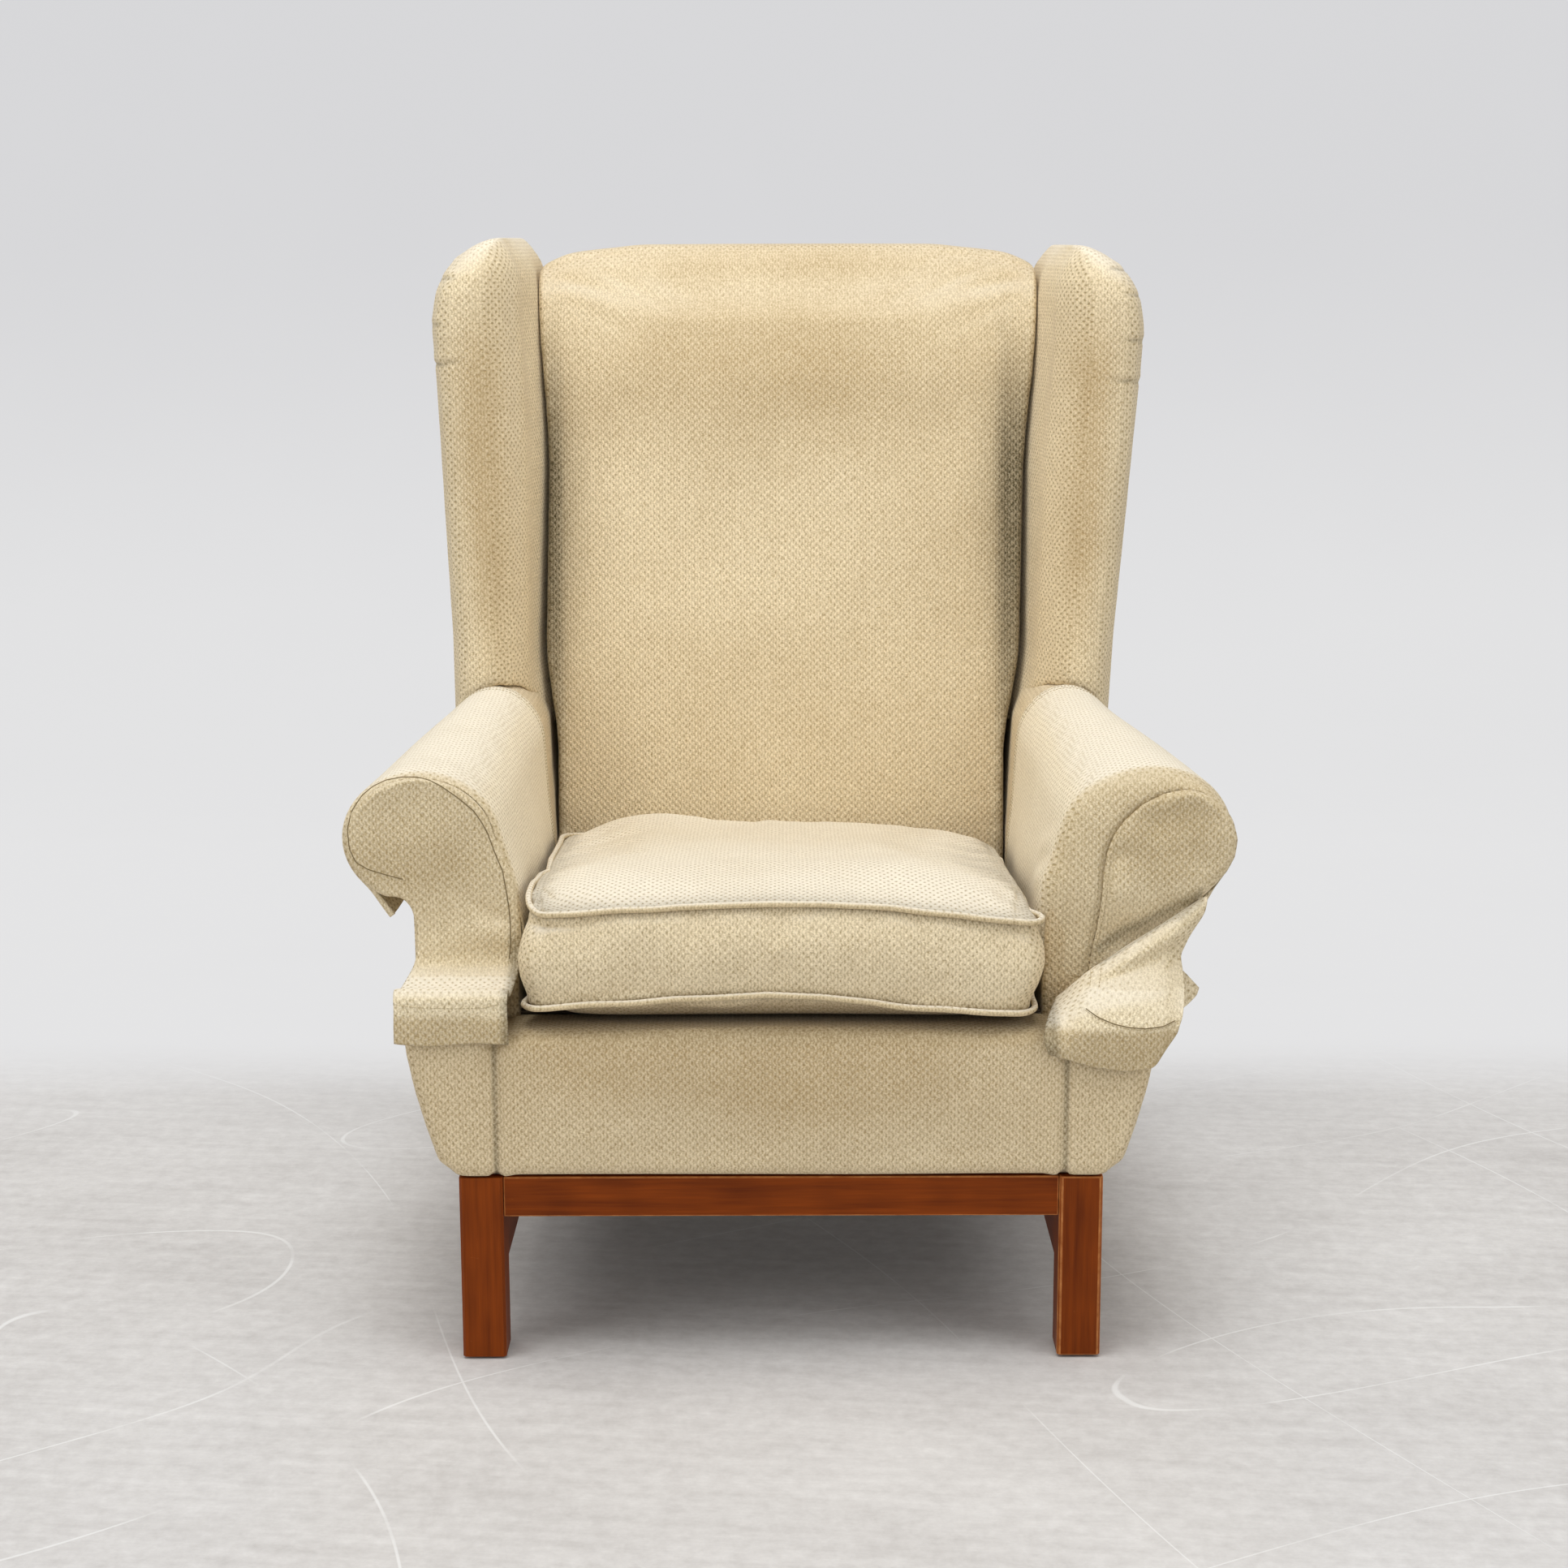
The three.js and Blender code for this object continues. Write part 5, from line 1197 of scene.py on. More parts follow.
def back_grid():
    rows, columns = 150, 120
    u = np.linspace(-1, 1, columns)
    top_x = np.abs(u) * WING_OUTER
    wing = np.sqrt(clamp01(1 - ((top_x - WING_PEAK) / (WING_OUTER - WING_PEAK)) ** 2))
    outer = WING_OUTER_SHOULDER + (WING_TOP - 4 - WING_OUTER_SHOULDER) * wing
    inner = WING_INNER_SHOULDER + (WING_TOP - 4 - WING_INNER_SHOULDER) * np.sqrt(
        clamp01(1 - ((WING_PEAK - top_x) / (WING_PEAK - ARM_INNER)) ** 2))
    middle = BACK_TOP - 7 - 25 * (top_x / ARM_INNER) ** 8
    top = np.where(top_x > WING_PEAK, outer, np.where(top_x > ARM_INNER + 4, np.maximum(inner, 1006), middle))
    v = np.linspace(0, 1, rows)[:, None]
    z = mix(SEAT_BOTTOM + 0.4, top[None, :], v)
    half = np.where(z < 460, body_half(z), np.where(z < 520, mix(BODY_HALF, ARM_REAR_OUTER, (z - 460) / 60),
                                                    wing_outer(np.minimum(z, WING_OUTER_SHOULDER - 1))))
    x = u[None, :] * (half - 1.5)
    y = back_rear(z)
    inside = (1 - np.abs(u[None, :]) ** 6) * smooth(v * 9) * smooth((1 - v) * 9)
    points = np.stack([x, y, z], axis=2)
    wave = ripple(points.reshape(-1, 3) * [1, 0, 0.6], 210, 75).reshape(z.shape)
    points[..., 1] += (wave * 1.6 - 2.4) * inside
    flat = put(points).reshape(-1, 3)
    part = np.where(np.abs(flat[:, 0]) > ARM_INNER, np.sign(flat[:, 0]), 0)
    for side in (-1, 0, 1):
        flat[part == side] = leaned(flat[part == side], side)
    return flat.reshape(points.shape)[:, ::-1]


for side_name, side in SIDES.items():
    sheet_piece(f"outside_arm_{side_name}", [side_grid(side)], CLOTH, CREAM, f"side_panel_{side_name}")
sheet_piece("outside_back", [back_grid()], CLOTH, CREAM, "back_cover_outside")


def level_grid(node, rows, columns, height, inset=0.3):
    """A level grid of points over a flat frame sheet, its height given by a formula of x and depth."""
    low, high = [np.array(corner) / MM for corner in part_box(node)]
    x = np.linspace(low[0] + inset, high[0] - inset, columns)
    y = np.linspace(high[1] - inset, low[1] + inset, rows)
    grid = np.stack(np.meshgrid(x, y), axis=2)
    return np.dstack([grid, height(grid[..., 0], grid[..., 1])])


def deck_height(x, y):
    wave = ripple(np.stack([x.ravel(), y.ravel(), 0 * x.ravel()], axis=1), 150, 81).reshape(x.shape)
    return deck_level(y - SHIFT) - 0.2 - 0.4 * (1 + wave)


def lining_height(x, y):
    low, high = [np.array(corner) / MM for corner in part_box("dust_cover")]
    across = (x - low[0]) / (high[0] - low[0])
    deep = (y - low[1]) / (high[1] - low[1])
    belly = np.sin(math.pi * across) * np.sin(math.pi * deep)
    wave = ripple(np.stack([x.ravel(), y.ravel(), 0 * x.ravel()], axis=1), 170, 83).reshape(x.shape)
    return SEAT_BOTTOM - 0.1 - belly * (4.5 + 1.2 * wave)


sheet_piece("seat_deck_cloth", [level_grid("deck_cloth", 80, 100, deck_height)], 1.6, DECK_WITH_SHADE, "deck_cloth")
lining_grid = level_grid("dust_cover", 80, 100, lining_height)
sheet_piece("dust_lining", [lining_grid], 0.8, LINING, "dust_cover")
print("sheets stretched")

# %% [markdown]
# ## Staples under the seat
# The black lining is held by staples about 28 mm apart, a finger's width in from its edge.

# %% Staples


def staple_tree():
    inputs = {"Spacing": 0.028, "Crown": 0.010, "Wire": 0.0008, "Material": None}
    tree, start, end = tree_with("staples", inputs)
    link = tree.links.new
    even = tree.nodes.new("GeometryNodeResampleCurve")
    even.mode = "LENGTH"
    to_points = tree.nodes.new("GeometryNodeCurveToPoints")
    to_points.mode = "EVALUATED"
    bar = tree.nodes.new("GeometryNodeMeshCube")
    size = tree.nodes.new("ShaderNodeCombineXYZ")
    place = tree.nodes.new("GeometryNodeInstanceOnPoints")
    real = tree.nodes.new("GeometryNodeRealizeInstances")
    paint = tree.nodes.new("GeometryNodeSetMaterial")
    link(start.outputs["Geometry"], even.inputs["Curve"])
    link(start.outputs["Spacing"], even.inputs["Length"])
    link(even.outputs["Curve"], to_points.inputs["Curve"])
    link(to_points.outputs["Points"], place.inputs["Points"])
    link(to_points.outputs["Rotation"], place.inputs["Rotation"])
    link(start.outputs["Wire"], size.inputs["X"])
    link(start.outputs["Wire"], size.inputs["Y"])
    link(start.outputs["Crown"], size.inputs["Z"])
    link(size.outputs["Vector"], bar.inputs["Size"])
    link(bar.outputs["Mesh"], place.inputs["Instance"])
    link(place.outputs["Instances"], real.inputs["Geometry"])
    link(real.outputs["Geometry"], paint.inputs["Geometry"])
    link(start.outputs["Material"], paint.inputs["Material"])
    link(paint.outputs["Geometry"], end.inputs["Geometry"])
    return tree


def lining_line(inset, drop):
    low, high = [np.array(corner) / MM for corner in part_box("dust_cover")]
    corners = [(low[0] + inset, low[1] + inset), (high[0] - inset, low[1] + inset),
               (high[0] - inset, high[1] - inset), (low[0] + inset, high[1] - inset), (low[0] + inset, low[1] + inset)]
    path = dense([(x, y, 0) for x, y in corners], 400)
    path[:, 2] = lining_height(path[:, 0], path[:, 1]) - drop
    return path


sizes = {"Spacing": 28 * MM, "Crown": 10 * MM, "Wire": 0.9 * MM, "Material": ZINC}
staples = along("lining_staples", [lining_line(9, 1.0)], staple_tree(), False, **sizes)
settle(staples)
print("staples:", len(staples.data.vertices) // 8)

# %% [markdown]
# ## The loose arm covers
# Each cover is sewn from two pieces: a body that goes over the arm from the cushion round the scroll
# to its underside, and a front panel that hangs before the scroll and the stem, bends over the ledge
# and ends in a hem before the side box. The two meet in a seam on the rounded front edge. The left
# one sits as it should. The right one has slid outwards and forwards, so its seam hangs well before
# the arm. Its front panel is tucked behind a long slanting fold, from which the rest swells over the
# ledge like a small pillow, and one corner of its outer hem has turned out.

# %% Loose covers
CAP_SKIN = CAP_EASE + CAP_CLOTH
ROUND = 14.0
SEAM_TURN = math.radians(56)
SEAM_INSET = ROUND * (1 - math.cos(SEAM_TURN))
COVER_FRONT = ARM_FRONT - CAP_SKIN
COVER_BACK = COVER_FRONT + ROUND
BEND, LIP, LEDGE_RISE = 32.0, 10.0, 11.0
LEDGE = BOX_TOP + CAP_SKIN
SLACK = 30.0
SLIPPED_SEAM = [(292, 352), (295, 376), (299.5, 402), (303, 433), (304, 456), (307, 478), (313, 494), (322, 507),
                (338, 522), (358, 532), (380, 536), (400, 531), (413, 521), (422, 508), (427, 490), (425, 474),
                (418, 460), (408, 448), (397, 437)]
SLIPPED_STEM = [(388, 423), (380, 408), (373, 395), (366, 380), (358, 362)]


def softened(line, times):
    for _ in range(times):
        line[1:-1] = line[1:-1] * 0.5 + (line[:-2] + line[2:]) * 0.25
    return line


def cover_section(y, count, kind):
    """The cover's line over the arm at a depth, from the inner hem to the outer one, and outward normals."""
    half, centre, level = scroll_at(arm_share(y))
    turn = np.linspace(0.92, kind["wrap"], 70) * math.pi
    arc = np.stack([centre + half * np.cos(turn), level + SCROLL_HALF_HEIGHT * np.sin(turn)], axis=1)
    run = (arc[-1] - arc[-3]) / np.linalg.norm(arc[-1] - arc[-3])
    hem = arc[-1] + run * kind["flap"] + np.array([0.0, -0.35 * kind["flap"]])
    points = [[ARM_INNER - 0.4, CAP_INNER_HEM], [ARM_INNER + 0.3, 405], [ARM_INNER + CLOTH, ARM_NECK], *arc,
              mix(arc[-1], hem, 0.5), hem]
    line = softened(dense([(x, 0, z) for x, z in points], count)[:, [0, 2]], 10)
    run = np.gradient(line, axis=0)
    normal = np.stack([-run[:, 1], run[:, 0]], axis=1)
    return line, normal / np.linalg.norm(normal, axis=1, keepdims=True)


def neat_seam(line, normal, s):
    """The seam line of the left cover, and how far before the arm its panel lies."""
    return line - normal * (SEAM_INSET * smooth((s - 0.1) / 0.12))[:, None], np.full(len(s), ROUND)


def slack_at(z):
    return mix(ROUND, SLACK, smooth((z - 385) / 60))


def slipped_path(count):
    return softened(dense([(x, 0, z) for x, z in SLIPPED_SEAM], count)[:, [0, 2]], 6)


def slipped_seam(line, normal, s):
    path = slipped_path(len(s))
    return path, slack_at(path[:, 1])


def cover_body(kind):
    columns = 190
    s = np.linspace(0, 1, columns)

    def over_arm(y):
        line, normal = cover_section(y, columns, kind)
        return line + normal * (CAP_SKIN + 0.15 + kind["body"](s, arm_share(y)))[:, None], normal

    line, normal = over_arm(COVER_BACK)
    seam, depth = kind["seam"](line, normal, s)
    rows = [(seam - normal * 1.6, COVER_BACK - depth * 0.6)]
    for turn in np.linspace(SEAM_TURN, 0, 9):
        share = (1 - math.cos(turn)) / (1 - math.cos(SEAM_TURN))
        rows.append((mix(line, seam, share), COVER_BACK - depth * math.sin(turn)))
    rows += [(over_arm(y)[0], np.full(columns, y)) for y in np.linspace(COVER_BACK + 3, CAP_REAR, 110)]
    grid = np.array([np.stack([flat[:, 0], y, flat[:, 1]], axis=1) for flat, y in rows])
    hem = smooth((s - 0.9) / 0.1)[None, :]
    share = arm_share(grid[..., 1])
    wave = np.sin(share * math.pi * 2 * kind["folds"] + kind["phase"])
    grid[..., 2] -= hem * (2.5 + 2.5 * wave)
    grid[..., 2] += smooth((0.1 - s) / 0.1)[None, :] * 1.2 * np.sin(share * 11)
    rear = smooth((share - 0.93) / 0.07)
    grid[..., 1] += rear * (1.3 * np.sin(s * 17 + kind["phase"])[None, :] - 1.4)
    return grid


def through(knots, points, count):
    """A soft line through points that are reached at given shares of its rows."""
    at = np.linspace(0, 1, count)
    points = np.asarray(points, float)
    return softened(np.stack([np.interp(at, knots, points[:, k]) for k in range(points.shape[1])], axis=1), 8)


def scroll_edge(angles):
    half, centre, level = scroll_at(0.0)
    reach = CAP_SKIN - SEAM_INSET
    edge = []
    for turn in angles:
        x = centre + (half + reach) * math.cos(turn * math.pi)
        z = level + (SCROLL_HALF_HEIGHT + reach) * math.sin(turn * math.pi)
        edge.append((x, z))
    return edge


def ledge_rows():
    """Depth and height of the cover from the foot of the stem over the ledge to the hem."""
    corner, face = np.linspace(0, math.pi / 2, 12), FRONT_FACE - CAP_SKIN - 0.5
    first = [(COVER_FRONT - BEND * (1 - math.cos(a)), LEDGE + BEND * (1 - math.sin(a))) for a in corner]
    last = [(face + LIP * (1 - math.sin(a)), LEDGE + LEDGE_RISE - LIP * (1 - math.cos(a))) for a in corner]
    return [*first, (-388, LEDGE + 1.0), *last, (face - 0.3, CAP_FRONT_HEM)]


def neat_front():
    rows, columns, ledge_count = 190, 72, 84
    upright = rows - ledge_count
    inner_turns, outer_turns = np.linspace(0.5, 0.97, 12), np.linspace(0.5, -0.34, 20)
    inner = scroll_edge(inner_turns) + [(252, 452), (248.5, 430), (246.5, 405), (246, LEDGE + BEND)]
    inner_knots = list(np.linspace(0, 0.42, 12)) + [0.58, 0.74, 0.89, 1.0]
    outer = scroll_edge(outer_turns) + LEFT_STEM
    outer_knots = list(np.linspace(0, 0.6, 20)) + list(np.linspace(0.6, 1.0, len(LEFT_STEM) + 1)[1:])
    low = dense([(0, y, z) for y, z in ledge_rows()], ledge_count)[:, 1:]
    grid = np.zeros((rows, columns, 3))
    u = np.linspace(0, 1, columns)[None, :]
    first = through(inner_knots, inner, upright)
    second = through(outer_knots, outer, upright)
    grid[:upright, :, 0] = mix(first[:, :1], second[:, :1], u)
    grid[:upright, :, 1] = COVER_FRONT
    grid[:upright, :, 2] = mix(first[:, 1:], second[:, 1:], u)
    settle_in = smooth(np.linspace(0, 3, ledge_count))[:, None]
    box_inner, box_outer = BOX_SEAM - 13.0, BOX_TOP_HALF + 3.5
    left, right = mix(first[-1, 0], box_inner, settle_in), mix(second[-1, 0], box_outer, settle_in)
    grid[upright:, :, 0] = mix(left, right, u)
    grid[upright:, :, 1] = low[:, :1]
    grid[upright:, :, 2] = low[:, 1:]
    for _ in range(4):
        grid[upright - 10:upright + 10] = (grid[upright - 10:upright + 10] * 0.5
                                           + (grid[upright - 11:upright + 9] + grid[upright - 9:upright + 11]) * 0.25)
    flat = grid.reshape(-1, 3)
    x, y, z = flat.T
    width = np.repeat(grid[:, -1, 0] - grid[:, 0, 0], columns)
    across = np.tile(u[0], rows)
    row = np.repeat(np.arange(rows) / upright, columns)
    on_scroll = 1 - smooth((row - 0.55) / 0.12)
    inner_side = 1 - smooth((row - 0.98) / 0.06)
    seam_side = np.where(across < 0.5, inner_side, on_scroll)
    gap = np.minimum(across, 1 - across) * width + mix(ROUND * 0.62, SEAM_INSET, seam_side)
    retreat = ROUND - np.sqrt(np.maximum(ROUND**2 - np.maximum(ROUND - gap, 0) ** 2, 0))
    drop = smooth((LEDGE - 6 - z) / 20)
    forward, up = neat_swell(x, y, z, across)
    flat[:, 2] += drop * 1.5 * np.sin(across * 7) * smooth((LEDGE - z) / (LEDGE - CAP_FRONT_HEM))
    over = smooth((row - 1.0) / 0.1)
    flat[:, 1] += -forward + retreat * mix(1.0, 0.75 * drop + 0.1, over)
    flat[:, 2] += up - over * (1 - drop) * retreat * 0.9
    return flat.reshape(grid.shape)


def neat_swell(x, y, z, across):
    """The left cover: a soft dimple or two, and the ledge a little full."""
    place = np.stack([x, y, z], axis=1)
    upright, ledge = smooth((z - 380) / 20), smooth((372 - z) / 14)
    forward = (ripple(place, 70, 91) * 1.3 + 2.0 * bump(z, 480, 40) * bump(x, 340, 45)) * upright
    forward += 4.0 * bump(z, 398, 14) * bump(x, 268, 22) - 3.5 * bump(z - (x - 268) * 0.6, 414, 9) * bump(x, 272, 22)
    drop = smooth((346 - z) / 20)
    forward += drop * (0.4 + 1.6 * bump(across, 0.12, 0.1) + 0.9 * np.sin(across * 9))
    up = ledge * (1 - drop) * (2.0 * bump(across, 0.5, 0.36) + 0.8 * np.sin(across * 7 + 1))
    return forward, up


def slipped_front():
    """The upper part of the right cover's front, from its seam down to behind the fold."""
    rows, columns = 120, 72
    path = slipped_path(400)
    top = int(np.argmax(path[:, 1]))
    sides = [path[top::-1], np.vstack([path[top:], SLIPPED_STEM])]
    first, second = [dense([(x, 0, z) for x, z in side], rows) for side in sides]
    u = np.linspace(0, 1, columns)[None, :, None]
    grid = mix(first[:, None, :], second[:, None, :], u)
    x, z = grid[..., 0], grid[..., 2]
    width = (second[:, 0] - first[:, 0])[:, None]
    u = u[..., 0]
    open_edge = smooth((438 - z) / 8) * (u > 0.5)
    reach = np.where(u < 0.5, 24.0, 9.0)
    turn = clamp01(1 - np.minimum(u, 1 - u) * width / reach) * math.cos(SEAM_TURN) * (1 - 0.4 * open_edge)
    depth = slack_at(z)
    forward = depth - depth * (1 - np.sqrt(1 - turn**2))
    place = grid.reshape(-1, 3)
    swell = (ripple(place * [1, 1, 1.3], 60, 95) * 1.4).reshape(x.shape)
    swell += 3.5 * bump(z, 455, 34) * bump(x, 372, 34) - 4.5 * bump(z, 476, 11) * bump(x, 315, 12)
    swell += 3.0 * bump(z, 440, 16) * bump(x, 318, 14) - 2.5 * bump(z, 505, 16) * bump(x, 350, 16)
    grid[..., 1] = COVER_BACK - forward - swell * smooth(np.minimum(u, 1 - u) * width / 14)
    return grid


# Places on the swollen lower part of the right cover, row by row from behind the fold to the hem.
# In each row they run from the cushion outwards.
PILLOW = [
    [(264, -346, 338), (292, -350, 362), (326, -352, 388), (361, -352, 410), (394, -349, 432)],
    [(259, -364, 343), (289, -374, 370), (325, -380, 397), (361, -378, 418), (400, -363, 439)],
    [(255, -375, 339), (287, -386, 363), (326, -392, 388), (363, -388, 407), (395, -368, 427)],
    [(251, -386, 334), (284, -392, 356), (323, -389, 375), (360, -380, 391), (382, -364, 404)],
    [(248, -397, 329), (280, -402, 349), (319, -400, 362), (354, -392, 372), (372, -370, 386)],
    [(244, -410, 322), (279, -414, 338), (318, -414, 347), (353, -408, 352), (375, -388, 359)],
    [(243, -416, 315), (281, -421, 323), (318, -422, 328), (352, -419, 329), (372, -406, 338)],
    [(245, -418, 309), (283, -421, 306), (318, -422, 305), (350, -420, 307), (367, -412, 325)],
    [(248, -417, 304), (285, -419, 292), (318, -420, 287), (344, -419, 290), (359, -413, 312)],
]
TURNED_CORNER = [[(366, -350, 376), (380, -346, 363), (396, -338, 345)], [(368, -352, 350), (381, -347, 344), (394, -339, 338)],
                 [(368, -352, 318), (372, -352, 322), (379, -350, 326)]]


def woven(table, rows, columns, times):
    """A soft even grid through a table of places."""
    table = np.array(table, float)
    down = np.stack([dense(table[:, k], rows) for k in range(table.shape[1])], axis=1)
    grid = np.stack([dense(row, columns) for row in down])
    for _ in range(times):
        grid[1:-1] = grid[1:-1] * 0.5 + (grid[:-2] + grid[2:]) * 0.25
        grid[:, 1:-1] = grid[:, 1:-1] * 0.5 + (grid[:, :-2] + grid[:, 2:]) * 0.25
    return grid


def pillow():
    grid = woven(PILLOW, 110, 84, 14)
    place = grid.reshape(-1, 3)
    wave = ripple(place * [1, 0.6, 1], 55, 98).reshape(grid.shape[:2])
    calm = smooth(np.linspace(0, 5, 110))[:, None]
    return grid + grid_normals(grid) * (wave * 1.1 * calm)[..., None]


def neat_body(s, share):
    """Ease across the top, and the loose inner side standing off the arm in a shallow wave."""
    inner = bump(s, 0.1, 0.12) * (1.2 + 1.2 * np.sin(share * 13 + s * 4)) * smooth(share * 12)
    return inner + 0.5 * (1 + np.sin(share * 9 + s * 14)) * smooth(share * 9)


def slipped_body(s, share):
    lean = smooth((s - 0.5) / 0.3) * 12.5 * (1 - smooth(share / 0.9))
    pucker = bump(s, 0.25, 0.08) * bump(share, 0.12, 0.1) * 1.6 * (1 + np.sin(s * 60 + share * 20))
    return neat_body(s, share) * 1.2 + lean + pucker


LEFT_STEM = [(364, 436), (355, 433), (348, 424), (345, 410), (343.5, 398), (344.5, LEDGE + BEND)]
COVERS = {"left": {"body": neat_body, "seam": neat_seam, "folds": 3, "phase": 0.4, "wrap": -0.27, "flap": 24.0},
          "right": {"body": slipped_body, "seam": slipped_seam, "folds": 2, "phase": 2.0, "wrap": -0.2,
                    "flap": 16.0}}


def seen_line(obj, places, lift=0.3):
    """A line on the front of a piece, found by looking straight at it from the front."""
    found = []
    for x, z in dense([(x, 0, z) for x, z in places], 260)[:, [0, 2]]:
        hit, at, normal, _ = obj.ray_cast(Vector((x * MM, -1.0, z * MM)), Vector((0, 1, 0)))
        if hit and at.y < (COVER_FRONT + SHIFT + 16) * MM:
            found.append(np.array(at) / MM + np.array(normal) * lift)
    return softened(np.array(found), 2)


def make_cover(side_name, side):
    kind = COVERS[side_name]
    fronts = [neat_front()] if side < 0 else [slipped_front(), pillow(), woven(TURNED_CORNER, 20, 24, 3)]
    grids = []
    for grid in [cover_body(kind), *fronts]:
        grid = put(grid)
        grid[..., 0] *= side
        grids.append(grid if side > 0 else grid[:, ::-1])
    obj = cloth_shell(f"arm_cover_{side_name}_sewn", grids, CAP_CLOTH * 0.75)
    points, normals = arrays(obj)
    x, y, z = points.T
    front = smooth((COVER_FRONT + 14 - (y - SHIFT)) / 10)
    worn = bump(z, 466, 46) * bump(x, -340, 66) if side < 0 else bump(z, 495, 50) * bump(x, 366, 50)
    # painted shade: the drop below each ledge is darkened through the soil value, standing for the shade under the
    # ledge's bulge
    drop = smooth((346 - z) / 14) if side < 0 else smooth((332 - z) / 12)
    attribute(obj, "soil_and_shade", clamp01(front * (0.2 * (z > 360) + 0.34 * smooth((z - 425) / 40) + 0.6 * worn + 1.1 * drop)))
    attribute(obj, "painted_light", 0.5 * (1 - front) * smooth((z - 340) / 30) * smooth((SCROLL_OUTER - 30 - x * side) / 60))
    # painted shade beside the cushion, and above the right cover's fold
    beside = 0.6 * smooth((430 - z) / 60) * smooth((262 - x * side) / 10)
    if side > 0:
        fold = dense([(x, 0, z) for x, y, z in PILLOW[1]], 200)
        above = z - np.interp(x, fold[:, 0], fold[:, 2])
        upper = smooth((384 + (y - SHIFT)) / 8) * smooth((x - 292) / 10) * (x < 396)
        beside = np.maximum(beside, 0.55 * bump(above, 3, 7) * upper)
    attribute(obj, "painted_shade", clamp01(beside))
    dress(obj, COVER_CREAM)
    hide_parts(f"arm_cap_{side_name}")
    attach(obj, f"arm_cover_{side_name}")
    return obj, grids


SEAM_STITCHES = [(312, 500), (303, 478), (300, 455), (299, 433), (295.5, 402), (291, 376), (288, 362)]
LEFT_SEAM = [(-355.4, 451.7), (-371.2, 455.8), (-387.5, 460.9), (-399.2, 468.2), (-405, 481.3),
             (-406.6, 499.3), (-402.4, 516.3), (-392.7, 530.5), (-382.4, 538.9), (-370, 544.9),
             (-354.9, 548.1), (-340.7, 548.3), (-327.9, 545.7), (-317.4, 540.5), (-301.4, 529.1),
             (-287.3, 517), (-279.5, 504.9), (-274.6, 494.5), (-268.9, 477.5), (-261.4, 459),
             (-258.7, 441), (-256.4, 423), (-255.5, 406), (-255.5, 390), (-257, 374)]
LEDGE_SEAM = [(282, 343), (293, 336.5), (306, 331.5), (320, 328.5), (336, 327), (352, 328.5), (364, 332)]
SEEN_LINES = {
    "left": [[(-348, 350), (-330, 348.5), (-300, 347.5), (-272, 348.5), (-262, 351)]],
    "right": [[(x + move, z) for x, z in SEAM_STITCHES] for move in (-0.5, 7.5)]
             + [LEDGE_SEAM],
}


for side_name, side in SIDES.items():
    cover, (body, front, *more) = make_cover(side_name, side)
    print(side_name, "cover points:", len(cover.data.vertices))
    low = more[0] if more else front
    body_out, front_out, low_out = [grid + grid_normals(grid) * 0.3 for grid in (body, front, low)]
    edge = -3 if side > 0 else 2
    lines = [body_out[-3, 4:-4], body_out[-6, 4:-4], body_out[14:, edge]]
    lines += [low_out[-4, 3:-3], low_out[-7, 3:-3], front_out[80 if more else 110:-4, edge]]
    lines += [seen_line(cover, places) for places in SEEN_LINES[side_name]]
    thread = stitches(f"arm_cover_{side_name}_stitches", lines)
    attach(thread, f"arm_cover_{side_name}")
    # painted shade: dark lines along the cover seams
    if side < 0:
        dark = [seen_line(cover, LEFT_SEAM, 0.1)]
    else:
        seam_rows = body + grid_normals(body) * -0.2
        dark = [dense(seam_rows[1, 20:-6], 300), seen_line(cover, [(x, z + 1.6) for x, z in LEDGE_SEAM], 0.1)]
    seam = piping(f"arm_cover_{side_name}_seam", dark, 0.5, SEAM_SHADOW_LINE)
    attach(seam, f"arm_cover_{side_name}")

# %% [markdown]
# ## Floor, wall, light and camera
# The picture was taken indoors with soft light from above. The floor is pale brushed concrete with a
# few worn streaks and fine scratches, and it turns up into a pale wall. What the camera sees of the
# wall is shown at its own plain brightness, a little darker towards its top, while the near floor is
# lit and keeps the chair's shadow. At the sides the floor glows with painted light for the camera, which lightens that
# shadow.
# The camera stands 2.8 m in front of the chair at head height and looks a little down.

# %% Stage
STREAK_ANGLE = math.radians(7)
WALL_NEAR, WALL_FAR = 120.0, 700.0
WALL_PALE, WALL_TOP = 150.0, 1150.0
FLOOR_GLOW_FROM = 300.0
BLACK = (0.0, 0.0, 0.0, 1.0)


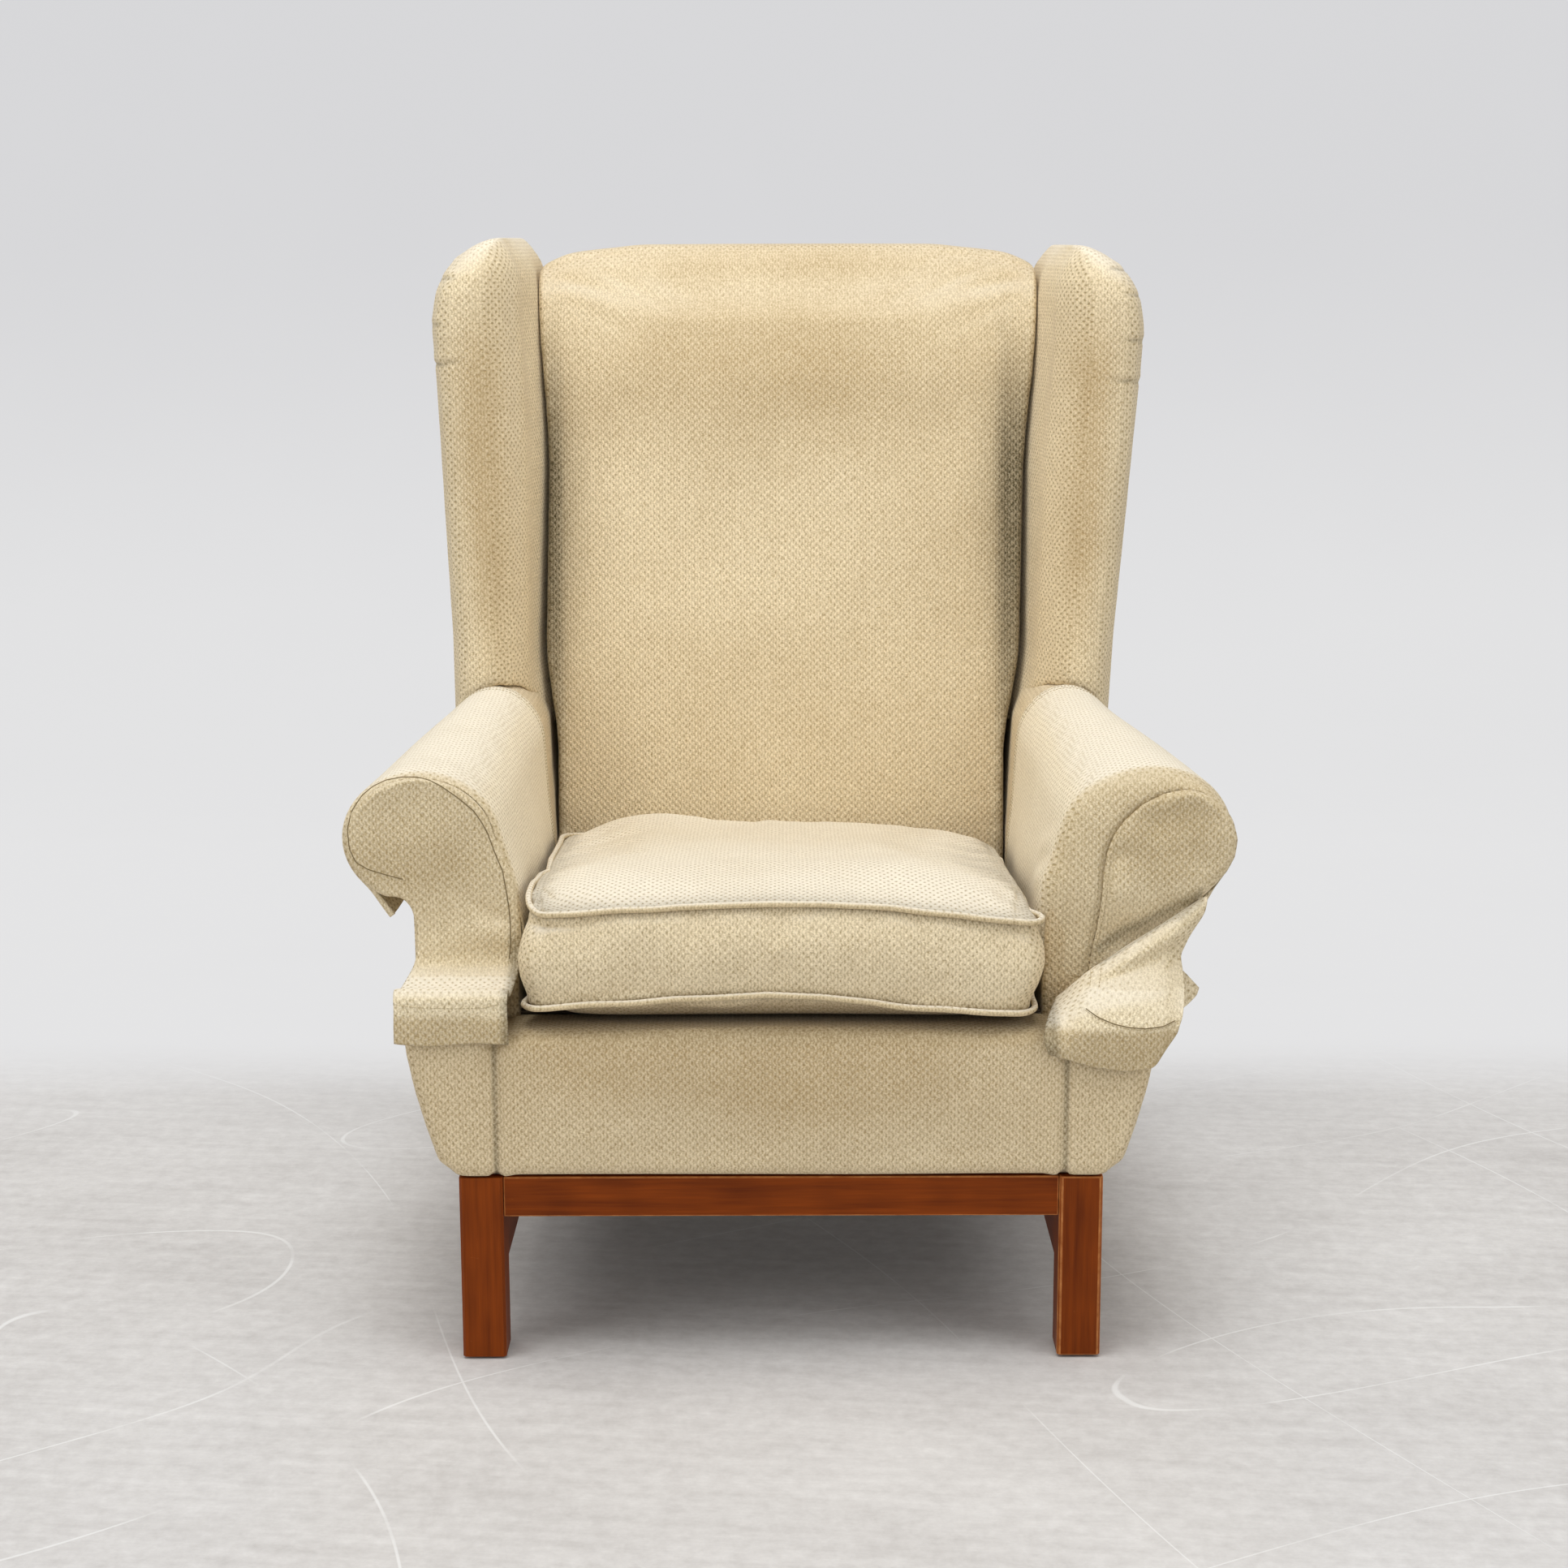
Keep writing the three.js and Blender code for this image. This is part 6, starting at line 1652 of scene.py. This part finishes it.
def make_floor():
    rows = [(-5.0, 0.0), (1.9, 0.0)]
    for share in np.linspace(0, 1, 12)[1:]:
        angle = share * math.pi / 2
        rows.append((1.9 + 1.2 * math.sin(angle), 1.2 * (1 - math.cos(angle))))
    rows.append((3.1, 5.0))
    grid = np.array([[(x * 1000, y * 1000, z * 1000) for x in np.linspace(-5, 5, 12)] for y, z in rows])
    floor = new_object("floor", grid.reshape(-1, 3), grid_faces(len(rows), 12))
    made, shader, p, _ = material("pale_concrete", 0.8)
    brushed = p.turned(STREAK_ANGLE).stretched(0.004, 0.05, 0.004)
    streaks = brushed.noise(1.0, 6.0, 0.68)
    cloud = p.stretched(0.0022, 0.0032, 0.0022).noise(1.0, 4.0, 0.6)
    speckle = p.noise(0.05, 3.0, 0.75)
    scratch = p.turned(-0.5).stretched(0.0009, 0.0035, 0.001).noise(1.0, 0.0).hairline(0.52, 0.0022)
    crossing = p.turned(1.1).stretched(0.0006, 0.0026, 0.001).noise(1.0, 0.0).hairline(0.47, 0.0016)
    worn = p.stretched(0.004, 0.004, 0.004).noise(1.0, 2.0).step(0.42, 0.56)
    scratch = scratch.math("MAXIMUM", crossing) * worn
    tone = ((streaks - 0.5) * 0.8 + (cloud - 0.5) * 0.9 + (speckle - 0.5) * 1.0 + 0.64).clamp()
    colour = tone.blend(srgb(184, 180, 177), srgb(224, 222, 220))
    colour = (scratch * 0.6).blend(colour, srgb(240, 240, 239))
    across, back, up = p.split()
    wall = (up.step(WALL_PALE, WALL_TOP) + (cloud - 0.5) * 0.25).clamp()
    wall = wall.blend(srgb(224, 224, 225), srgb(213, 213, 215))
    # painted light: to the sides the floor glows in its own colour for the camera, lightening the chair's shadow there
    floor_glow = across.math("ABSOLUTE").step(FLOOR_GLOW_FROM, FLOOR_GLOW_FROM * 1.7) * 0.55
    seen = p.node("ShaderNodeLightPath", "Is Camera Ray") * back.step(WALL_NEAR, WALL_FAR).math("MAXIMUM", floor_glow)
    wall = back.step(WALL_NEAR, WALL_FAR).blend(colour, wall)
    finish_with(shader, seen.blend(colour, BLACK), streaks + speckle * 0.4, 0.12, 1.0)
    made.node_tree.links.new(seen.blend(BLACK, wall).socket, shader.inputs["Emission Color"])
    shader.inputs["Emission Strength"].default_value = 1.0
    dress(floor, made)


def area_light(name, place, target, size, power):
    data = bpy.data.lights.new(name, "AREA")
    data.shape, data.size, data.energy = "DISK", size, power
    lamp = bpy.data.objects.new(name, data)
    bpy.context.scene.collection.objects.link(lamp)
    lamp.location = place
    lamp.rotation_mode = "QUATERNION"
    lamp.rotation_quaternion = (Vector(target) - Vector(place)).to_track_quat("-Z", "Y")
    return lamp


make_floor()
area_light("ceiling", (-0.2, -0.7, 3.3), (0, 0, 0.5), 2.6, 60)
area_light("window_left", (-2.6, -2.2, 2.0), (0, 0, 0.5), 2.0, 18)
area_light("window_right", (2.8, -2.2, 1.8), (0, 0, 0.5), 2.2, 17)

world = bpy.data.worlds.new("room")
bpy.context.scene.world = world
world.use_nodes = True
room = world.node_tree.nodes["Background"]
room.inputs["Color"].default_value = (1.0, 0.985, 0.96, 1.0)
room.inputs["Strength"].default_value = 0.53
beyond = world.node_tree.nodes.new("ShaderNodeBackground")
beyond.inputs["Color"].default_value = srgb(219, 219, 220)
either = world.node_tree.nodes.new("ShaderNodeMixShader")
ray = world.node_tree.nodes.new("ShaderNodeLightPath")
for start, end in ((ray.outputs["Is Camera Ray"], either.inputs[0]), (room.outputs[0], either.inputs[1]),
                   (beyond.outputs[0], either.inputs[2]),
                   (either.outputs[0], world.node_tree.nodes["World Output"].inputs["Surface"])):
    world.node_tree.links.new(start, end)

camera_data = bpy.data.cameras.new("camera")
camera_data.sensor_width = 36
camera_data.lens = 36 * 3375 / 1932
camera = bpy.data.objects.new("camera", camera_data)
bpy.context.scene.collection.objects.link(camera)
camera.location = (0.005, (-2850 + SHIFT) * MM, 1.038)
camera.rotation_mode = "XYZ"
camera.rotation_euler = (math.radians(90 - 11.16), math.radians(0.15), 0)
bpy.context.scene.camera = camera
bpy.context.scene.view_settings.view_transform = "Standard"
